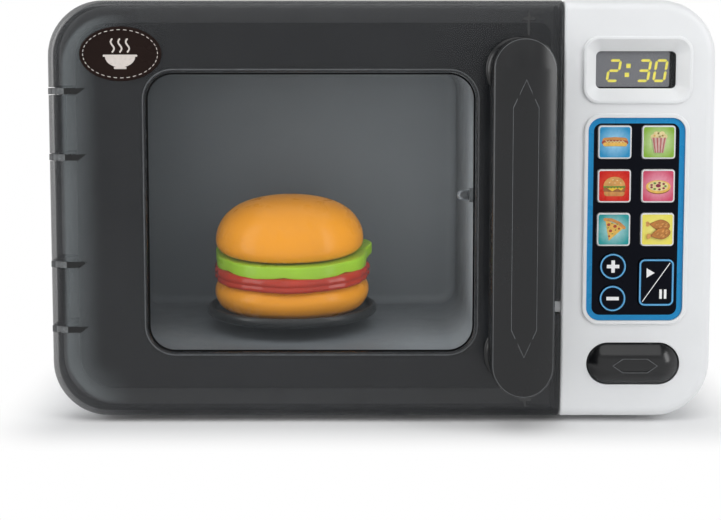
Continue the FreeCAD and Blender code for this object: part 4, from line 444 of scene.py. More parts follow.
def circuit():
    """Green circuit board with paler tracks."""
    graph = Surface("circuit_board")
    tracks = graph.add("ShaderNodeTexBrick")
    tracks.inputs["Scale"].default_value = TRACK_SCALE
    tracks.inputs["Mortar Size"].default_value = TRACK_LINE
    graph.link(graph.place, tracks.inputs["Vector"])
    ground = graph.mix(graph.ranged(graph.noise(90), 0, 1), (0.01, 0.09, 0.035), (0.02, 0.13, 0.05))
    tint = graph.mix(tracks.outputs["Fac"], ground, (0.05, 0.24, 0.1))
    graph.paint(tint, graph.ranged(graph.noise(200), 0.25, 0.4))
    graph.bump(tracks.outputs["Fac"], 0.2, FINE_DEPTH)
    return graph.material


WHITE = (0.82, 0.83, 0.84)
# Painted shade: the white front shell is coloured dark behind the door and beside each lug, and its lug faces
# pale grey, as in the door's shade
LUG_PAINTED_SHADE = (0.045, 0.047, 0.05)
LUG_FACE_PAINTED_SHADE = (0.17, 0.175, 0.18)
# Painted highlight: paler smoke colour in a band along the hinge side of the door
BAND_PAINTED_HIGHLIGHT = (0.13, 0.147, 0.155)
LUG_SHADE_PATCHES = [(LUG_PAINTED_SHADE, Surface.inside, LUG_LOW, LUG_HIGH)]
for height in LUG_HEIGHTS:
    wall_low = (*LUG_LOW[:2], height - LUG_WALL_HALF)
    wall_high = (LUG_WALL_RIGHT, LUG_WALL_BACK, height + LUG_WALL_HALF)
    LUG_SHADE_PATCHES.append((LUG_PAINTED_SHADE, Surface.inside, wall_low, wall_high))
face_low = (LUG_FACE_LEFT, *LUG_LOW[1:])
face_high = (LUG_FACE_RIGHT, *LUG_HIGH[1:])
LUG_SHADE_PATCHES.append((LUG_FACE_PAINTED_SHADE, Surface.inside, face_low, face_high))
# Patch of painted highlight on the smoked door
DOOR_HIGHLIGHT_PATCHES = ((BAND_PAINTED_HIGHLIGHT, Surface.painted_hinge_highlight),)

# A plastic has a name, colour, roughness, tone, grain, relief, wear and gain of its worn edges
SLOTS = {
    "casing_white": plastic("white_casing", WHITE, 0.36, 0.02, 1300, 0.10, 0.15, 1.05),
    # The smoked door carries a painted highlight band along its hinge side
    "smoke_door": plastic(
        "smoke_door", (0.019, 0.021, 0.024), 0.25, 0.10, 900, 0.03, 0.12, 3.0, DOOR_HIGHLIGHT_PATCHES, alpha=0.60
    ),
    "smoke_window": plastic("smoke_window", (0.035, 0.041, 0.046), 0.05, 0.08, 700, 0.01, alpha=0.16),
    "dark_plastic": plastic(
        "dark_grip", (0.008, 0.0085, 0.0095), 0.24, 0.10, 1100, 0.04, 0.15, 2.6, shine=0.36
    ),
    "frame_charcoal": plastic("charcoal_frame", (0.022, 0.024, 0.027), 0.33, 0.10, 1000, 0.06, 0.4, 2.2),
    "liner_grey": plastic("grey_liner", (0.165, 0.182, 0.195), 0.46, 0.05, 800, 0.10, 0.2, 1.3, shine=0.15),
    "badge_brown": plastic(
        "brown_badge", (0.014, 0.0075, 0.006), 0.25, 0.10, 900, 0.04, 0.3, 2.0, shine=0.07
    ),
    "trim_blue": plastic("blue_border", (0.006, 0.24, 0.53), 0.28, 0.05, 1200, 0.04, 0.2, 1.4, shine=0.3),
    "keypad_black": plastic(
        "black_keypad", (0.0025, 0.0032, 0.0070), 0.30, 0.15, 1200, 0.05, 0.3, 2.0, shine=0.06
    ),
    "key_white": plastic("white_key", (0.76, 0.76, 0.76), 0.28, 0.03, 1200, 0.03, 0.2, 1.05),
    "display_grey": plastic("black_display", (0.004, 0.004, 0.0045), 0.40, 0.12, 900, 0.06, shine=0.05),
    "clear_plastic": plastic(
        "clear_plastic", (0.55, 0.57, 0.58), 0.06, 0.03, 700, 0.01, shine=0.2, alpha=0.03
    ),
    "rubber_black": plastic("black_rubber", (0.02, 0.02, 0.02), 0.75, 0.15, 700, 0.25, 0.5, 2.0),
    "rubber_grey": plastic("grey_rubber", (0.30, 0.31, 0.33), 0.70, 0.08, 700, 0.20),
    "steel": metal("drawn_steel", (0.55, 0.55, 0.56), 0.30, (1, 1, 0.1)),
    "nickel": metal("nickel_plate", (0.62, 0.60, 0.56), 0.22, (0.2, 1, 1)),
    "circuit_green": circuit(),
    "gear_nylon": plastic("nylon_gear", (0.70, 0.68, 0.60), 0.45, 0.04, 900, 0.08),
    "cell_jacket": plastic("cell_jacket", (0.02, 0.06, 0.16), 0.25, 0.10, 500, 0.03),
    "bun_orange": plastic("bun_orange", (0.86, 0.34, 0.017), 0.28, 0.04, 520, 0.05, shine=0.25),
    "patty_brown": plastic("patty_red", (0.43, 0.036, 0.016), 0.17, 0.16, 420, 0.14, shine=0.40),
    "lettuce_green": plastic("lettuce_green", (0.33, 0.58, 0.035), 0.30, 0.06, 480, 0.06, shine=0.3),
}
OWN_LOOKS = {
    # White front shell with painted shade behind the door and on its hinge lugs
    "front_shell": plastic("white_front_painted_shade", WHITE, 0.36, 0.02, 1300, 0.10, 0.15, 1.05, LUG_SHADE_PATCHES),
    "release_button": plastic("gloss_button", (0.006, 0.0065, 0.0075), 0.20, 0.10, 1100, 0.02, shine=0.42),
    "turntable": plastic("satin_dish", (0.015, 0.0165, 0.017), 0.36, 0.08, 900, 0.04),
    "cavity_lamp": plastic("smoky_lamp", (0.05, 0.055, 0.06), 0.12, 0.08, 700, 0.02, alpha=0.75),
    "lamp_holder": plastic("lamp_collar", (0.12, 0.13, 0.135), 0.35, 0.08, 900, 0.05),
}
for part in frame["record"]["subparts"]:
    mesh = frame["nodes"][part["node"]].data
    mesh.materials.clear()
    mesh.materials.append(OWN_LOOKS.get(part["node"], SLOTS[part["material_slot"]]))

INKS = {
    # Pale line ink: painted highlight along moulded edges
    "line": ink("edge_painted_highlight", (0.085, 0.09, 0.095), 0.2, 0.15),
    # Inks of painted shade and painted light for the hinge arms drawn on the door
    "arm": ink("dark_arm_painted_shade", (0.005, 0.0055, 0.006), 0.3, 0.2, shine=0.34),
    "root_light": ink("pale_root_painted_light", (0.12, 0.127, 0.13), 0.25, 0.25),
    "lcd_grey": ink("lcd_grey", (0.198, 0.201, 0.216), 0.5, 0.03, shine=0.1),
    # Painted light: the yellow digits glow a little though the display has no lamp
    "digit": ink("digit_yellow_painted_glow", (0.78, 0.70, 0.10), 0.5, 0.04, 0.18),
    # Painted shade of the groove round the pane, and painted highlight along the window's lip
    "groove_shade": ink("groove_painted_shade", (0.003, 0.003, 0.0035), 0.6, 0.2, shine=0.08),
    "lip": ink("lip_painted_highlight", (0.075, 0.08, 0.085), 0.12, 0.3),
    # Paler smoke of the ribs: painted highlight
    "rib": ink("rib_painted_highlight", (0.026, 0.027, 0.028), 0.2, 0.2),
}

# Inks of the pictures and signs, as colour and tone
PLAIN_INKS = {
    "white": ((0.93, 0.93, 0.93), 0.03),
    "blue": ((0.03, 0.27, 0.58), 0.05),
    "pale_blue": ((0.22, 0.56, 0.82), 0.05),
    "cream": ((0.66, 0.60, 0.56), 0.05),
    "crust": ((0.62, 0.27, 0.07), 0.2),
    "dark_crust": ((0.34, 0.12, 0.03), 0.2),
    "sausage": ((0.40, 0.055, 0.025), 0.15),
    "mustard": ((0.85, 0.55, 0.04), 0.05),
    "butter": ((0.80, 0.66, 0.33), 0.12),
    "cheese": ((0.83, 0.50, 0.10), 0.12),
    "leaf": ((0.12, 0.27, 0.03), 0.15),
    "tub": ((0.66, 0.46, 0.42), 0.1),
    "stripe": ((0.46, 0.14, 0.12), 0.1),
    "cherry": ((0.25, 0.01, 0.05), 0.15),
    "roast": ((0.50, 0.19, 0.035), 0.25),
    "light_roast": ((0.68, 0.33, 0.09), 0.2),
}
for key, (colour, tone) in PLAIN_INKS.items():
    INKS[key] = ink(key + "_ink", colour, tone=tone)


def adopt(mesh, name, body, slot, materials, place=(0, 0, 0), smooth=False):
    """Object made from a bmesh in millimetres, riding on a body."""
    data = bpy.data.meshes.new(name)
    bmesh.ops.recalc_face_normals(mesh, faces=mesh.faces)
    bmesh.ops.scale(mesh, vec=(MM, MM, MM), verts=mesh.verts)
    mesh.to_mesh(data)
    mesh.free()
    for material in materials:
        data.materials.append(material)
    data.polygons.foreach_set("use_smooth", [smooth] * len(data.polygons))
    piece = bpy.data.objects.new(name, data)
    bpy.context.scene.collection.objects.link(piece)
    piece.location = Vector(place) * MM
    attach(piece, body)
    return piece


def turned_point(x, z, across, up, lean):
    """Point at some way across and up from a place, on axes that lean."""
    cosine, sine = math.cos(lean), math.sin(lean)
    return x + across * cosine - up * sine, z + across * sine + up * cosine


def ellipse(x, z, wide, high, lean=0.0, count=40, start=0.0, sweep=TURN):
    """Points along an ellipse or a part of one."""
    last = count if sweep == TURN else count + 1
    angles = [start + sweep * step / count for step in range(last)]
    return [turned_point(x, z, wide * math.cos(angle), high * math.sin(angle), lean) for angle in angles]


def rounded(x, z, wide, high, radius, count=8):
    """Points of a rectangle with round corners, from half sizes, with none doubled where arcs meet."""
    points = []
    for quarter, (sx, sz) in enumerate(((1, 1), (-1, 1), (-1, -1), (1, -1))):
        corner = (x + sx * (wide - radius), z + sz * (high - radius))
        arc = ellipse(*corner, radius, radius, 0, count, quarter * TURN / 4, TURN / 4)
        if points and math.dist(points[-1], arc[0]) < SAME_PLACE:
            points.pop()
        points += arc
    if math.dist(points[-1], points[0]) < SAME_PLACE:
        points.pop()
    return points


def stroke(points, width, cap_steps=6):
    """Outline of a line of even width through the points, with round ends."""
    line = [Vector(point) for point in points]
    left, right = [], []
    for index, point in enumerate(line):
        ahead = line[min(index + 1, len(line) - 1)] - line[max(index - 1, 0)]
        side = Vector((-ahead.y, ahead.x)).normalized() * width / 2
        left.append(point + side)
        right.append(point - side)
    outline = []
    for side, end in ((left, line[-1]), (right[::-1], line[0])):
        outline += [tuple(point) for point in side]
        start = math.atan2(side[-1].y - end.y, side[-1].x - end.x)
        outline += ellipse(*end, width / 2, width / 2, 0, cap_steps, start, -TURN / 2)[1:-1]
    return outline


def bridge(mesh, loops):
    """Faces between closed loops with as many points each."""
    faces = []
    for first, second in zip(loops, loops[1:]):
        for index in range(len(first)):
            following = (index + 1) % len(first)
            faces.append(mesh.faces.new((first[index], first[following], second[following], second[index])))
    return faces


def skin(mesh, loops):
    """Faces between closed loops and over the first and the last of them."""
    bridge(mesh, loops)
    mesh.faces.new(loops[0])
    mesh.faces.new(loops[-1])


def level(x, z):
    """No bend at all."""
    return 0.0


class Print:
    """Thin printed layers stacked in front of one face, kept as one mesh."""

    def __init__(self, name, body, slot, place, bend=level):
        self.values = (name, body, slot)
        self.place = place
        self.bend = bend
        self.mesh = bmesh.new()
        self.materials = []
        self.layer = 0

    def index(self, colour):
        """Place of an ink among the mesh's materials."""
        material = INKS[colour]
        if material not in self.materials:
            self.materials.append(material)
        return self.materials.index(material)

    def loop(self, points, depth):
        return [self.mesh.verts.new((x, depth + self.bend(x, z), z)) for x, z in points]

    def add(self, points, colour, raised=True):
        """One flat shape, with its points given from the face's middle."""
        self.layer += raised
        depth = -LAYER * self.layer
        face = self.mesh.faces.new(self.loop(points, depth))
        face.material_index = self.index(colour)
        grown = bmesh.ops.extrude_face_region(self.mesh, geom=[face])
        back = [item for item in grown["geom"] if isinstance(item, bmesh.types.BMVert)]
        bmesh.ops.translate(self.mesh, vec=(0, LAYER_BACK, 0), verts=back)
        return self

    def ring(self, outer, inner, colour, raised=True):
        """Band between two outlines with as many points each."""
        self.layer += raised
        depth = -LAYER * self.layer
        back = depth + LAYER_BACK
        rows = ((outer, back), (outer, depth), (inner, depth), (inner, back))
        loops = [self.loop(*row) for row in rows]
        for face in bridge(self.mesh, loops):
            face.material_index = self.index(colour)
        return self

    def rise(self):
        """One layer further out for the shapes that follow."""
        self.layer += 1
        return self

    def done(self):
        name, body, slot = self.values
        return adopt(self.mesh, name, body, slot, self.materials, self.place)


def face_of(node):
    """Middle of a node's front face."""
    centre = middle(node)
    return centre.x, front(node), centre.z


# Pictures are drawn in millimetres from the middle of their face
def picture(key, colour, glow):
    """Printed ground of one picture key."""
    sheet = Print(key + "_picture", key, "key_white", face_of(key))
    ground = key + "_ground"
    INKS[ground] = field_ink(ground, colour, glow)
    return sheet.add(rounded(0, 0, FIELD_HALF, FIELD_HALF, FIELD_RADIUS), ground)


def hot_dog():
    """Sausage in a long bun with a mustard wave."""
    sheet = picture("hot_dog_key", (0.022, 0.29, 0.57), (0.36, 0.68, 0.90))
    sheet.add(stroke([(-4.7, 0.9), (0, 1.2), (4.7, 0.9)], 2.6), "crust")
    sheet.add(stroke([(-5.4, -0.1), (0, 0.2), (5.4, -0.1)], 1.9), "sausage")
    sheet.add(stroke([(-4.8, -1.0), (0, -0.9), (4.8, -1.0)], 1.9), "cheese")
    wave = [(-4.4 + step * 0.8, 0.35 + 0.35 * (-1) ** step) for step in range(12)]
    return sheet.add(stroke(wave, 0.45), "butter").done()


def popcorn():
    """Popcorn in a striped tub."""
    sheet = picture("popcorn_key", (0.25, 0.46, 0.048), (0.68, 0.80, 0.44))
    puffs = ((-2.6, 2.6, 1.5), (2.5, 2.7, 1.5), (-1.3, 3.9, 1.5), (1.4, 4.0, 1.4), (0.0, 3.0, 1.9))
    for x, z, radius in puffs:
        sheet.add(ellipse(x, z, radius, radius * 0.9, 0, 18), "butter")
    for x, z in ((-2.2, 3.2), (-0.4, 4.3), (1.7, 3.2), (0.3, 2.6)):
        sheet.add(ellipse(x, z, 0.5, 0.35, 0.4, 10), "cheese", False)
    sheet.add([(-3.5, 2.2), (-2.1, -5.0), (2.1, -5.0), (3.5, 2.2)], "tub")
    sheet.rise()
    for top, foot in ((-2.7, -1.65), (-0.9, -0.55), (0.9, 0.55), (2.7, 1.65)):
        stripe = [(top - 0.42, 2.2), (foot - 0.25, -5.0), (foot + 0.25, -5.0), (top + 0.42, 2.2)]
        sheet.add(stripe, "stripe", False)
    return sheet.done()


def burger_picture():
    """Burger with a seeded crown."""
    sheet = picture("burger_key", (0.64, 0.010, 0.008), (0.84, 0.10, 0.045))
    sheet.add(rounded(0, -3.4, 4.9, 1.45, 1.3), "crust")
    sheet.add(rounded(0, -1.8, 5.3, 0.95, 0.9), "dark_crust")
    sheet.add([(-3.6, -0.9), (-1.0, -2.5), (1.6, -1.1), (3.2, -2.2), (4.6, -0.8)], "mustard")
    lower = [(5.3 - step * 0.757, -0.85 + 0.35 * (-1) ** step) for step in range(15)]
    sheet.add([(-5.3, 0.1), (5.3, 0.1)] + lower, "leaf")
    sheet.add(ellipse(0, 0.0, 5.2, 4.5, 0, 28, 0, TURN / 2), "light_roast")
    sheet.rise()
    seeds = ((-2.4, 1.7, 0.5), (-0.7, 3.0, 0.2), (1.3, 2.7, -0.3), (2.9, 1.5, -0.6), (0.2, 1.5, 0.1))
    for x, z, lean in seeds:
        sheet.add(ellipse(x, z, 0.42, 0.22, lean, 10), "butter", False)
    return sheet.done()


def pie():
    """Round pie with berries."""
    sheet = picture("pie_key", (0.64, 0.075, 0.15), (0.88, 0.42, 0.52))
    sheet.add(ellipse(0, -1.2, 5.6, 2.7), "dark_crust")
    sheet.add(ellipse(0, -0.3, 5.9, 3.1), "cheese")
    sheet.add(ellipse(0, 0.0, 4.8, 2.4), "butter")
    sheet.rise()
    for step in range(9):
        angle = TURN * step / 9
        berry = ellipse(3.4 * math.cos(angle), 1.6 * math.sin(angle), 0.66, 0.48, 0, 12)
        sheet.add(berry, "cherry" if step % 3 else "leaf", False)
    return sheet.add(ellipse(0, 0.2, 1.2, 0.85, 0, 16), "cherry").done()


def pizza():
    """Slice of pizza."""
    sheet = picture("pizza_key", (0.02, 0.33, 0.34), (0.46, 0.76, 0.75))
    sheet.add([(-4.1, 4.7), (5.0, 1.0), (-2.3, -5.4)], "cheese")
    sheet.add(stroke([(-4.2, 4.9), (-1.0, 4.7), (2.4, 3.2), (5.0, 0.9)], 1.5), "crust")
    sheet.rise()
    slices = ((-2.4, 2.4, 0.8), (0.6, 1.6, 0.85), (-1.5, -0.6, 0.8), (2.6, 0.5, 0.6), (-2.1, -3.2, 0.5))
    for x, z, radius in slices:
        sheet.add(ellipse(x, z, radius, radius * 0.85, 0.3, 16), "sausage", False)
    herbs = ((-0.9, 3.0, 0.6), (1.6, 2.6, -0.4), (-2.7, 0.9, 1.2), (-0.6, -2.0, 0.2), (0.9, -0.2, 0.9))
    for x, z, lean in herbs:
        sheet.add(ellipse(x, z, 0.5, 0.2, lean, 10), "leaf", False)
    return sheet.done()


def chicken():
    """Two roast drumsticks."""
    sheet = picture("chicken_key", (0.86, 0.76, 0.115), (0.90, 0.82, 0.26))
    for x, z, lean in ((1.2, 2.1, -0.10), (1.4, -1.9, 0.22)):
        tip = turned_point(x, z, -6.0, 0, lean)
        root = turned_point(x, z, -2.4, 0, lean)
        sheet.add(stroke([root, tip], 1.3), "light_roast")
        for knob in (0.55, -0.55):
            sheet.add(ellipse(tip[0], tip[1] + knob, 0.85, 0.7, 0, 14), "light_roast")
        for grown, colour in ((0.3, "dark_crust"), (0.0, "roast")):
            drop = []
            for step in range(36):
                angle = TURN * step / 36
                swell = 1.0 - 0.5 * max(0.0, -math.cos(angle))
                across = (4.5 + grown) * math.cos(angle)
                drop.append(turned_point(x, z, across, (2.5 + grown) * swell * math.sin(angle), lean))
            sheet.add(drop, colour)
        for along, side in ((1.3, 0.9), (2.7, -0.3), (0.2, -0.8), (-1.4, 0.3), (1.1, -1.4), (3.0, 0.9)):
            spot = turned_point(x, z, along, side, lean)
            sheet.add(ellipse(*spot, 0.8, 0.42, lean + 0.5, 12), "light_roast")
    return sheet.done()


def round_sign(key, bars):
    """Blue ring and white bars of the plus or minus key."""
    sheet = Print(key + "_sign", key, "keypad_black", face_of(key))
    for inset, width, colour in RING_INKS:
        outer = RING_RADIUS - RING_LINE * inset
        inner = outer - RING_LINE * width
        sheet.ring(ellipse(0, 0, outer, outer), ellipse(0, 0, inner, inner), colour)
    for wide, high in bars:
        sheet.add(rounded(0, 0, wide, high, SIGN_ROUND, 3), "white")
    return sheet.done()


def start_sign():
    """Blue outline, slash, play triangle and pause bars of the start key."""
    sheet = Print("start_key_sign", "start_key", "keypad_black", face_of("start_key"))
    for inset, width, colour in RING_INKS:
        wide, high, radius = (size - START_LINE * inset for size in (*START_HALF, START_RADIUS))
        line = START_LINE * width
        inner = rounded(0, 0, wide - line, high - line, radius - line)
        sheet.ring(rounded(0, 0, wide, high, radius), inner, colour)
    sheet.add(stroke([(-6.6, -9.2), (6.3, 9.4)], 0.38), "white")
    sheet.add([(-4.8, 7.0), (-4.8, 2.4), (-0.9, 4.7)], "white", False)
    for x in (2.1, 4.3):
        sheet.add(rounded(x, -5.6, 0.62, 2.3, 0.15, 3), "white", False)
    return sheet.done()


SEGMENTS = {"2": "abged", "3": "abgcd", "0": "abcdef"}

# Ends of the segments, in shares of a digit's half width and half height
SEGMENT_ENDS = {
    "a": ((-1, 1), (1, 1)),
    "b": ((1, 1), (1, 0)),
    "c": ((1, 0), (1, -1)),
    "d": ((-1, -1), (1, -1)),
    "e": ((-1, 0), (-1, -1)),
    "f": ((-1, 1), (-1, 0)),
    "g": ((-1, 0), (1, 0)),
}


def digit(sheet, sign, x, z):
    """One seven-segment digit, leaning a little to the right."""
    half = DIGIT_LINE / 2
    wide = DIGIT_WIDE / 2 - half
    high = DIGIT_HIGH / 2 - half
    for name in SEGMENTS[sign]:
        start, finish = (Vector((across * wide, up * high)) for across, up in SEGMENT_ENDS[name])
        along = (finish - start).normalized()
        side = Vector((-along.y, along.x))
        start += along * DIGIT_BREAK
        finish -= along * DIGIT_BREAK
        outline = [start, start + (along + side) * half, finish + (side - along) * half, finish]
        outline += [finish - (along + side) * half, start + (along - side) * half]
        leaning = [(x + point.x + DIGIT_LEAN * point.y, z + point.y) for point in outline]
        sheet.add(leaning, "digit", False)


def display():
    """Grey screen and yellow time behind the display lens."""
    x, y, z = face_of("display_module")
    sheet = Print("display_screen", "casing", "display_grey", (x, y - SCREEN_RISE, z))
    sheet.add(rounded(*SCREEN_SHIFT, *SCREEN_HALF, SCREEN_RADIUS), "lcd_grey")
    sheet.rise()
    for sign, place in DIGIT_PLACES:
        digit(sheet, sign, place, -DIGIT_DROP)
    for rise in COLON_HEIGHTS:
        dot = rounded(COLON_X + DIGIT_LEAN * rise, rise, COLON_HALF, COLON_HALF, COLON_ROUND, 3)
        sheet.add(dot, "digit", False)
    return sheet.done()


BADGE_RIM = (17.8, 11.4)
BADGE_LINE = 0.3
BADGE_DASHES = 36
BADGE_DASH_SHARE = 0.45


def badge_motif():
    """Plain steaming bowl inside a stitched rim on the oval badge."""
    sheet = Print("badge_motif", "door", "badge_brown", face_of("door_badge"))
    sheet.rise()
    pitch = TURN / BADGE_DASHES
    for dash in range(BADGE_DASHES):
        arc = ellipse(0, 0, *BADGE_RIM, 0, 3, pitch * dash, pitch * BADGE_DASH_SHARE)
        sheet.add(stroke(arc, BADGE_LINE), "cream", False)
    sheet.add(ellipse(0, -1.2, 7.2, 5.2, 0, 24, TURN / 2, TURN / 2), "cream", False)
    sheet.add(rounded(0, -0.9, 8.2, 0.5, 0.4, 4), "cream")
    sheet.add(rounded(0, -6.7, 3.0, 0.5, 0.4, 4), "cream", False)
    for shift in (-3.6, 0.0, 3.6):
        wisp = [(shift + 0.8 * math.sin(step * 0.55), 0.9 + step * 0.55) for step in range(12)]
        sheet.add(stroke(wisp, 0.8), "cream", False)
    return sheet.done()


def window_trim():
    """Black ring of painted shade in the groove round the pane, and a pale ring of painted highlight along
    the lip of the door's opening.
    """
    wide, tall = (half - PANE_LAP for half in half_size("door_window"))
    x, y, z = face_of("door_window")
    door_face = front("door_frame")
    for name, face, outer, inner in (
        ("groove_shade", y, GROOVE_SHADE_OUTER, GROOVE_SHADE_INNER),
        ("lip", door_face, LIP_OUTER, LIP_INNER),
    ):
        outlines = []
        for grown in outer, inner:
            outlines.append(rounded(0, 0, wide + grown, tall + grown, WINDOW_RADIUS + grown, 12))
        sheet = Print("window_" + name, "door", "smoke_door", (x, face, z))
        sheet.ring(*outlines, name).done()


def door_ribs():
    """Moulded ribs of the door above and below the handle, drawn as paler flat prints: painted highlight
    where the ribs catch the light.
    """
    low, high = corners("door_handle")
    floor_z, top_z = (corner[2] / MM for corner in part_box("door_frame"))
    x = (low.x + high.x) / 2 + RIB_SHIFT
    sheet = Print("door_ribs", "door", "smoke_door", (x, front("door_frame"), 0))
    for start, finish, cross in (
        (high.z + RIB_GAP, top_z - RIB_MARGIN, top_z - RIB_CROSS_MARGIN),
        (floor_z + RIB_MARGIN, low.z - RIB_GAP, floor_z + RIB_CROSS_MARGIN),
    ):
        sheet.layer = 0
        half = (RIB_WIDTH / 2, (finish - start) / 2)
        sheet.add(rounded(0, (start + finish) / 2, *half, RIB_ROUND, 3), "rib")
        sheet.add(rounded(0, cross, *RIB_CROSS_HALF, RIB_ROUND, 3), "rib")
    return sheet.done()


def painted_hinge_shade():
    """Prints on the door's face: dark arms of painted shade where the hinge arms lie in shade behind the
    door, and pale roots of painted light where the lug faces show lit.
    """
    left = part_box("door_frame")[0][0] / MM
    sheet = Print("painted_hinge_shade", "door", "smoke_door", (left, front("door_frame"), 0))
    for height in LUG_HEIGHTS:
        sheet.layer = 0
        low, high = height - ARM_HALF, height + ARM_HALF
        sheet.add([(ARM_DARK, low), (ARM_FOOT, low), (ARM_TIP, high), (ARM_DARK, high)], "arm")
        root = [(ARM_LEFT, low), (ARM_DARK, low), (ARM_DARK, high), (ARM_LEFT, high)]
        sheet.add(root, "root_light", False)
    return sheet.done()


def pillow(name, body, slot, material, place, half, profile, bend=level):
    """Cap with fully round ends, from rows of (growth of its outline, depth behind its front)."""
    mesh = bmesh.new()
    loops = []
    for grown, depth in profile:
        outline = rounded(0, 0, half[0] + grown, half[1] + grown, min(half) + grown, PILLOW_STEPS)
        loops.append([mesh.verts.new((x, depth + bend(x, z), z)) for x, z in outline])
    skin(mesh, loops)
    return adopt(mesh, name, body, slot, [material], place, True)


def hexagon(wide, high, point):
    """Points of a long upright hexagon."""
    side = high - point
    return [(0, high), (-wide, side), (-wide, -side), (0, -high), (wide, -side), (wide, side)]


def mark(sheet, wide, high, point, lying=False):
    """Thin pale line along the edge of a moulded hexagon: painted highlight where the edge catches the light.
    """
    inner = hexagon(wide - MARK_LINE, high - 2 * MARK_LINE, point - MARK_LINE)
    outlines = [hexagon(wide, high, point), inner]
    if lying:
        outlines = [[(z, x) for x, z in outline] for outline in outlines]
    return sheet.ring(*outlines, "line").done()


HANDLE_HALF = [half - HANDLE_PAD_LIP for half in half_size("door_handle")]


def handle_bend(x, z):
    """Bow of the handle's front, with its top end nodding back."""
    wide, high = HANDLE_HALF
    return HANDLE_BOW * (x / wide) ** 2 + HANDLE_NOD * max(0.0, z - (high - wide))


def handle():
    """Door handle: a bowed bar with thin edges on two round posts with pads."""
    wide, high = HANDLE_HALF
    x, y, z = face_of("door_handle")
    place = (x, y + HANDLE_SETBACK, z)
    look = SLOTS["dark_plastic"]
    profile = [(-wide * share, 0.0) for share in HANDLE_RINGS]
    for step in range(EDGE_STEPS + 1):
        angle = TURN / 4 * step / EDGE_STEPS
        profile.append((HANDLE_EDGE * (math.sin(angle) - 1), HANDLE_EDGE * (1 - math.cos(angle))))
    profile += [(0, HANDLE_BAR - 2 * HANDLE_EDGE), (-HANDLE_EDGE, HANDLE_BAR)]
    profile.append((-wide * HANDLE_RINGS[0], HANDLE_BAR))
    bar = pillow("handle_bar", "door", "dark_plastic", look, place, (wide, high), profile, handle_bend)
    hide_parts("door_handle")
    core = -wide * POST_RING
    shaft = -HANDLE_POST_INSET
    post_start = HANDLE_BAR - HANDLE_PAD
    pad_start = HANDLE_REACH - HANDLE_PAD
    post = [(core, post_start), (shaft, post_start), (shaft, pad_start)]
    post += [(HANDLE_PAD_LIP - HANDLE_EDGE, pad_start), (HANDLE_PAD_LIP, pad_start + HANDLE_EDGE)]
    post += [(HANDLE_PAD_LIP, HANDLE_REACH), (core, HANDLE_REACH)]
    for name, side in (("top", 1), ("bottom", -1)):
        centre = (x, y, z + side * (high - wide))
        pillow("handle_post_" + name, "door", "dark_plastic", look, centre, (wide, wide), post)
    sheet = Print("handle_mark", "door", "dark_plastic", place, handle_bend)
    # Painted highlight: a thin pale ring along the edge of the handle's front
    edges = []
    for inset in HANDLE_EDGE, HANDLE_EDGE + MARK_LINE:
        edges.append(rounded(0, 0, wide - inset, high - inset, wide - inset, PILLOW_STEPS))
    sheet.ring(*edges, "line")
    mark(sheet, *HANDLE_MARK)


def button():
    """Domed glossy release button, hollow behind."""
    place = face_of("release_button")
    profile = []
    for step in range(DOME_STEPS + 1):
        share = step / DOME_STEPS
        profile.append((BUTTON_DOME * (share - 1), BUTTON_RISE * share ** 2))
    profile += [(0, BUTTON_DEEP), (-BUTTON_SHELL, BUTTON_DEEP), (-BUTTON_SHELL, BUTTON_RISE)]
    profile.append((BUTTON_SHELL - BUTTON_DOME, BUTTON_SHELL))
    look = OWN_LOOKS["release_button"]
    cap = pillow("button_cap", "button", "dark_plastic", look, place, BUTTON_HALF, profile)
    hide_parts("release_button")
    mark(Print("button_mark", "button", "dark_plastic", place), *BUTTON_MARK, True)


def coil(name, node, along, turns, gap=0.0):
    """Wire spring in place of a tube along X (0) or Y (1)."""
    low, high = corners(node)
    centre = (low + high) / 2
    across = 1 - along
    radius = (high.z - low.z) / 2 - COIL_WIRE
    first = low[along] + gap + COIL_WIRE
    last = high[along] - COIL_WIRE
    count = turns * COIL_STEPS
    mesh = bmesh.new()
    loops = []
    for step in range(count + 1):
        angle = TURN * step / COIL_STEPS
        loop = []
        for side in range(COIL_SIDES):
            turn = TURN * side / COIL_SIDES
            out = radius + COIL_WIRE * math.cos(turn)
            point = Vector((0, 0, centre.z + out * math.sin(angle)))
            point[across] = centre[across] + out * math.cos(angle)
            point[along] = first + (last - first) * step / count + COIL_WIRE * math.sin(turn)
            loop.append(mesh.verts.new(point))
        loops.append(loop)
    skin(mesh, loops)
    piece = adopt(mesh, name, "casing", "steel", [SLOTS["steel"]], smooth=True)
    axis = Vector((0, 0, 0))
    axis[along] = 1
    anchor = centre.copy()
    anchor[along] = high[along]
    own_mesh(piece)
    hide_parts(node)


def springs():
    """Springs that push the release button and the latch out."""
    coil("release_coil", "release_spring", 1, RELEASE_COIL_TURNS, BUTTON_SHELL)
    coil("latch_coil", "latch_spring", 0, LATCH_COIL_TURNS)


def still(angle, share=0.0):
    """No wave at all."""
    return 0.0


def tab(angle, place, width):
    """Blocky step along an edge round one direction."""
    away = (angle - place + TURN / 2) % TURN - TURN / 2
    return math.exp(-(away / width) ** TAB_POWER)


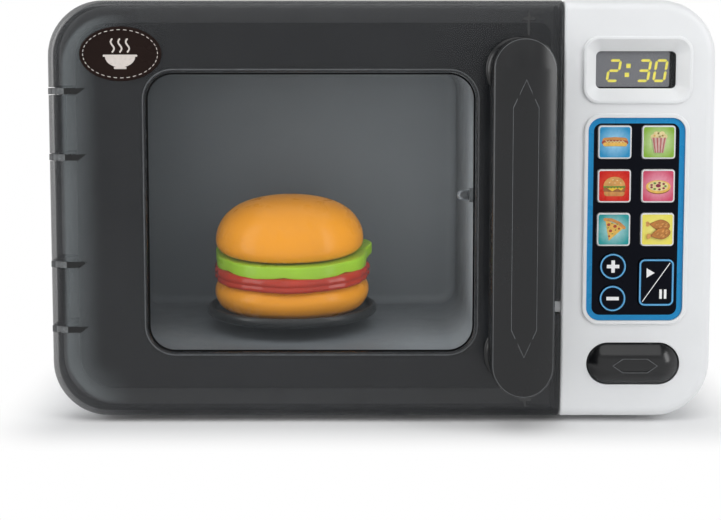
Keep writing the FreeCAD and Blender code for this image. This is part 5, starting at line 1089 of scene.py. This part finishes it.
def lathe(name, node, slot, profile, reach=still, rise=still, lean=(0.0, 0.0), shift=0.0):
    """Round piece in place of a node, from a profile of (radius, height, share of the edge wave)."""
    centre = middle("turntable")
    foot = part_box(node)[0][2] / MM
    tall = profile[-1][1]
    mesh = bmesh.new()
    loops = []
    for radius, height, wave in profile:
        loop = []
        share = height / tall
        sink = FOOD_LEAN * (lean[0] + (lean[1] - lean[0]) * share)
        for step in range(ROUND_STEPS):
            angle = TURN * step / ROUND_STEPS
            out = radius + wave * reach(angle)
            up = height + wave * rise(angle, share) - sink * out / LEAN_RADIUS * math.cos(angle - FRONT_ANGLE)
            loop.append(mesh.verts.new((out * math.cos(angle), out * math.sin(angle), up)))
        loops.append(loop)
    skin(mesh, loops)
    look = OWN_LOOKS.get(node, SLOTS[slot])
    piece = adopt(mesh, name, node, slot, [look], (centre.x + shift, centre.y, foot), True)
    smoothing = piece.modifiers.new("smooth", "SUBSURF")
    smoothing.levels = 1
    smoothing.render_levels = 1
    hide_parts(node)
    return piece


def waves(angle, rows):
    """Sum of waves round an edge."""
    return sum(reach * math.sin(count * angle + start) for reach, count, start in rows)


def uneven(angle):
    """Slight waviness of a bun's edge."""
    return waves(angle, BUN_WAVES)


def patty_edge(angle):
    """Waves and fine ripples of the patty's edge."""
    return waves(angle, PATTY_WAVES)


def lobe(angle):
    """Share of a lettuce lobe, from 0 between lobes to 1 at the middle of one."""
    return abs(math.cos(LOBES / 2 * (angle - LOBE_START))) ** LOBE_POWER


def leaf_edge(angle):
    """Lobes all round the leaf, and two tabs that stand out."""
    tabs = [reach * tab(angle, place, width) for place, reach, width, _, _ in LEAF_TABS]
    return LOBE_REACH * lobe(angle) + sum(tabs)


def leaf_rise(angle, share):
    """Lobes hang from the lower edge, and the tabs stand up."""
    tabs = [rise * tab(angle, place, width) for place, _, _, rise, width in LEAF_TABS]
    return sum(tabs) - LOBE_DROOP * lobe(angle) * (1 - share)


# Profiles of the round pieces, as (radius, height, share of the edge wave)
BASE_PROFILE = (
    (3, 0, 0), (26, 0, 0), (33.5, 0.1, 0), (37.0, 1.7, 1), (39.3, 4.0, 1), (39.45, 4.2, 1),
    (41.2, 7.0, 1), (42.1, 10.5, 1), (41.6, 13.6, 1), (40.2, 16.2, 1), (38.0, 18.6, 1),
    (35.0, 19.8, 0), (30, 20, 0), (3, 20, 0),
)
PATTY_PROFILE = (
    (3, 0, 0), (34, 0, 0), (37.4, -0.4, 0.3), (40.4, -2.0, 1), (41.9, -1.6, 1), (42.5, -0.4, 1),
    (42.2, 0.7, 1), (42.0, 1.1, 1), (42.0, 1.5, 1), (42.4, 2.1, 1), (42.6, 3.4, 1), (41.9, 4.8, 1),
    (40.4, 5.6, 0.8), (38.5, 5.95, 0.4), (34, 6, 0), (3, 6, 0),
)
LETTUCE_PROFILE = (
    (3, 0, 0), (32, 0.05, 0), (37, 0.1, 0.3), (39.4, 0.1, 1), (39.9, 0.3, 1), (40.1, 0.9, 1), (40.1, 4.9, 1),
    (39.9, 5.5, 1), (39.4, 5.75, 1), (37.0, 5.9, 0.3), (33, 5.95, 0), (3, 6, 0),
)
CROWN_PROFILE = (
    (3, 0, 0), (28, 0, 0), (34.0, 0.1, 0), (37.2, 1.0, 1), (39.3, 2.9, 1), (40.2, 5.4, 1), (40.2, 8.6, 1),
    (39.4, 12.4, 1), (37.6, 16.5, 1), (34.8, 20.3, 1), (30.6, 23.9, 1), (25.0, 26.8, 1), (18.0, 29.0, 1),
    (10.0, 30.3, 0), (4.0, 30.7, 0), (1.2, 30.8, 0),
)
TURNTABLE_PROFILE = (
    (2.0, 2.7, 0), (4.4, 2.7, 0), (4.6, 0.1, 0), (7.9, 0.0, 0), (8.0, 0.2, 0), (8.0, 5.5, 0), (8.3, 5.7, 0),
    (42.8, 5.7, 0), (44.9, 6.1, 0), (46.0, 7.2, 0), (46.3, 8.6, 0), (46.1, 10.2, 0), (45.2, 11.4, 0),
    (43.9, 11.5, 0), (42.9, 10.6, 0), (42.2, 8.7, 0), (41.6, 8.1, 0), (30, 8.1, 0), (29.7, 8.0, 0),
    (28.7, 8.0, 0), (28.4, 8.1, 0), (3, 8.1, 0),
)


def food():
    """Turntable and the toy burger on it: two buns, a ridged patty and a lobed lettuce leaf."""
    lathe("turntable_dish", "turntable", "dark_plastic", TURNTABLE_PROFILE)
    lathe("burger_bun_base", "bun_base", "bun_orange", BASE_PROFILE, uneven, lean=(0, 1))
    lathe("burger_patty", "patty", "patty_brown", PATTY_PROFILE, patty_edge, lean=(1, 1))
    lathe("burger_lettuce", "lettuce", "lettuce_green", LETTUCE_PROFILE, leaf_edge, leaf_rise, (1, 1))
    lathe(
        "burger_bun_crown", "bun_crown", "bun_orange", CROWN_PROFILE, uneven, lean=(1, 0), shift=CROWN_SHIFT
    )


hot_dog()
popcorn()
burger_picture()
pie()
pizza()
chicken()
round_sign("plus_key", ((SIGN_REACH, SIGN_HALF_LINE), (SIGN_HALF_LINE, SIGN_REACH)))
round_sign("minus_key", ((SIGN_REACH, SIGN_HALF_LINE),))
start_sign()
display()
badge_motif()
window_trim()
door_ribs()
painted_hinge_shade()
handle()
button()
springs()
food()


# Stage sizes are in metres
FLOOR_SIZE = 4.0
FOOTPRINT_HALF = (0.15, 0.075, 1.0)
FOOTPRINT_MIDDLE = (0.0, 0.015, 0.0)
SHADOW_REACH = 0.046
CEILING_DIM = 0.8
CEILING_START = 0.35
CEILING_FULL = 0.80
FLOOR_TINTS = ((0.93, 0.93, 0.935), (0.95, 0.95, 0.95))
WORLD_STRENGTH = 0.36
WORLD_TINT = (0.97, 0.985, 1.0, 1)
OBJECT_MIDDLE = (0.0, 0.0, 0.1)
CAMERA_PLACE = (-0.01006, -0.6315, 0.17201)
CAMERA_DIP = 4.284
CAMERA_LENS = 59.754
CAMERA_SENSOR = 36.0
CAMERA_SHIFT = -0.14

# Soft boxes, as name, place, aim, size and power in watts
STUDIO_BOXES = (
    ("left_box", (-1.25, -0.60, 0.50), OBJECT_MIDDLE, (0.5, 1.0), 7.5),
    ("right_box", (1.25, -0.85, 0.60), OBJECT_MIDDLE, (0.5, 1.0), 7.5),
    ("top_box", (0.0, -0.8, 1.35), OBJECT_MIDDLE, (1.4, 1.0), 7.2),
)
FRONT_BOX = "oven_front"
OVEN_BOXES = (
    (FRONT_BOX, (-0.010, -0.041, 0.095), (0.015, 0.08, 0.08), (0.13, 0.11), 0.034),
    ("oven_left", (-0.108, -0.036, 0.105), (-0.005, 0.06, 0.085), (0.03, 0.11), 0.030),
    ("oven_right", (0.030, -0.036, 0.100), (0.0, 0.08, 0.085), (0.03, 0.11), 0.044),
    ("oven_top", (-0.020, 0.000, 0.1705), (-0.020, 0.000, 0.0), (0.17, 0.10), 0.045),
)


def floor():
    """Pale floor that keeps the shadow near the object and runs out to white."""
    mesh = bmesh.new()
    bmesh.ops.create_grid(mesh, x_segments=8, y_segments=8, size=FLOOR_SIZE)
    data = bpy.data.meshes.new("floor")
    mesh.to_mesh(data)
    mesh.free()
    plane = bpy.data.objects.new("floor", data)
    bpy.context.scene.collection.objects.link(plane)
    graph = Surface("pale_floor")
    tint = graph.mix(graph.ranged(graph.noise(3), 0, 1), *FLOOR_TINTS)
    graph.paint(tint, graph.ranged(graph.noise(40), 0.8, 0.95))
    graph.set(Specular_IOR_Level=0.0)
    away = graph.place
    nothing = (0, 0, 0)
    for operation, value in (
        ("SUBTRACT", FOOTPRINT_MIDDLE),
        ("ABSOLUTE", nothing),
        ("SUBTRACT", FOOTPRINT_HALF),
        ("MAXIMUM", nothing),
    ):
        away = graph.vector(operation, away, value)["Vector"]
    far = graph.ranged(graph.vector("LENGTH", away)["Value"], 0, 1, 0.0, SHADOW_REACH)
    far.node.interpolation_type = "SMOOTHSTEP"
    path = graph.add("ShaderNodeLightPath").outputs
    seen = graph.math("MAXIMUM", path["Is Camera Ray"], path["Is Glossy Ray"])
    glow = graph.add("ShaderNodeEmission").outputs["Emission"]
    shader = graph.blend(graph.math("MULTIPLY", far, seen), graph.shader.outputs["BSDF"], glow)
    graph.link(shader, graph.output.inputs["Surface"])
    data.materials.append(graph.material)


def studio_world():
    """White surroundings as seen, a darker ceiling as reflected, and a softer level as light."""
    world = bpy.data.worlds.new("studio")
    graph = Graph(world)
    path = graph.add("ShaderNodeLightPath").outputs
    upward = graph.axes(graph.coordinates["Generated"])["Z"]
    ceiling = graph.ranged(upward, 0, CEILING_DIM, CEILING_START, CEILING_FULL)
    shown = graph.math("MAXIMUM", path["Is Camera Ray"], path["Is Glossy Ray"])
    shown = graph.math("MAXIMUM", shown, path["Is Transmission Ray"])
    light = graph.add("ShaderNodeBackground")
    light.inputs["Color"].default_value = WORLD_TINT
    light.inputs["Strength"].default_value = WORLD_STRENGTH
    seen = graph.add("ShaderNodeBackground")
    seen.inputs["Color"].default_value = (1, 1, 1, 1)
    dim = graph.product(ceiling, path["Is Glossy Ray"])
    graph.link(graph.math("SUBTRACT", 1.0, dim), seen.inputs["Strength"])
    shader = graph.blend(shown, light.outputs["Background"], seen.outputs["Background"])
    output = graph.add("ShaderNodeOutputWorld")
    graph.link(shader, output.inputs["Surface"])
    bpy.context.scene.world = world


def lamp(name, place, aim, size, power):
    """Soft box of the studio, pointing at a place."""
    data = bpy.data.lights.new(name, "AREA")
    data.shape = "RECTANGLE"
    data.size, data.size_y = size
    data.energy = power
    box = bpy.data.objects.new(name, data)
    box.location = place
    box.rotation_euler = (Vector(aim) - Vector(place)).to_track_quat("-Z", "Y").to_euler()
    bpy.context.scene.collection.objects.link(box)
    return box


def oven_light():
    """Even light inside the oven, as bright as the room, with the front box kept out of reflections."""
    for values in OVEN_BOXES:
        box = lamp(*values)
        box.visible_camera = False
        box.visible_glossy = box.name != FRONT_BOX


def camera():
    """Camera at the photograph's place, a little below the top of the casing."""
    data = bpy.data.cameras.new("camera")
    data.sensor_fit = "HORIZONTAL"
    data.sensor_width = CAMERA_SENSOR
    data.lens = CAMERA_LENS
    data.shift_y = CAMERA_SHIFT
    eye = bpy.data.objects.new("camera", data)
    eye.location = CAMERA_PLACE
    eye.rotation_euler = (math.radians(90.0 - CAMERA_DIP), 0, 0)
    bpy.context.scene.collection.objects.link(eye)
    bpy.context.scene.camera = eye


floor()
studio_world()
for values in STUDIO_BOXES:
    lamp(*values)
oven_light()
camera()

bpy.context.scene.view_settings.view_transform = "Standard"
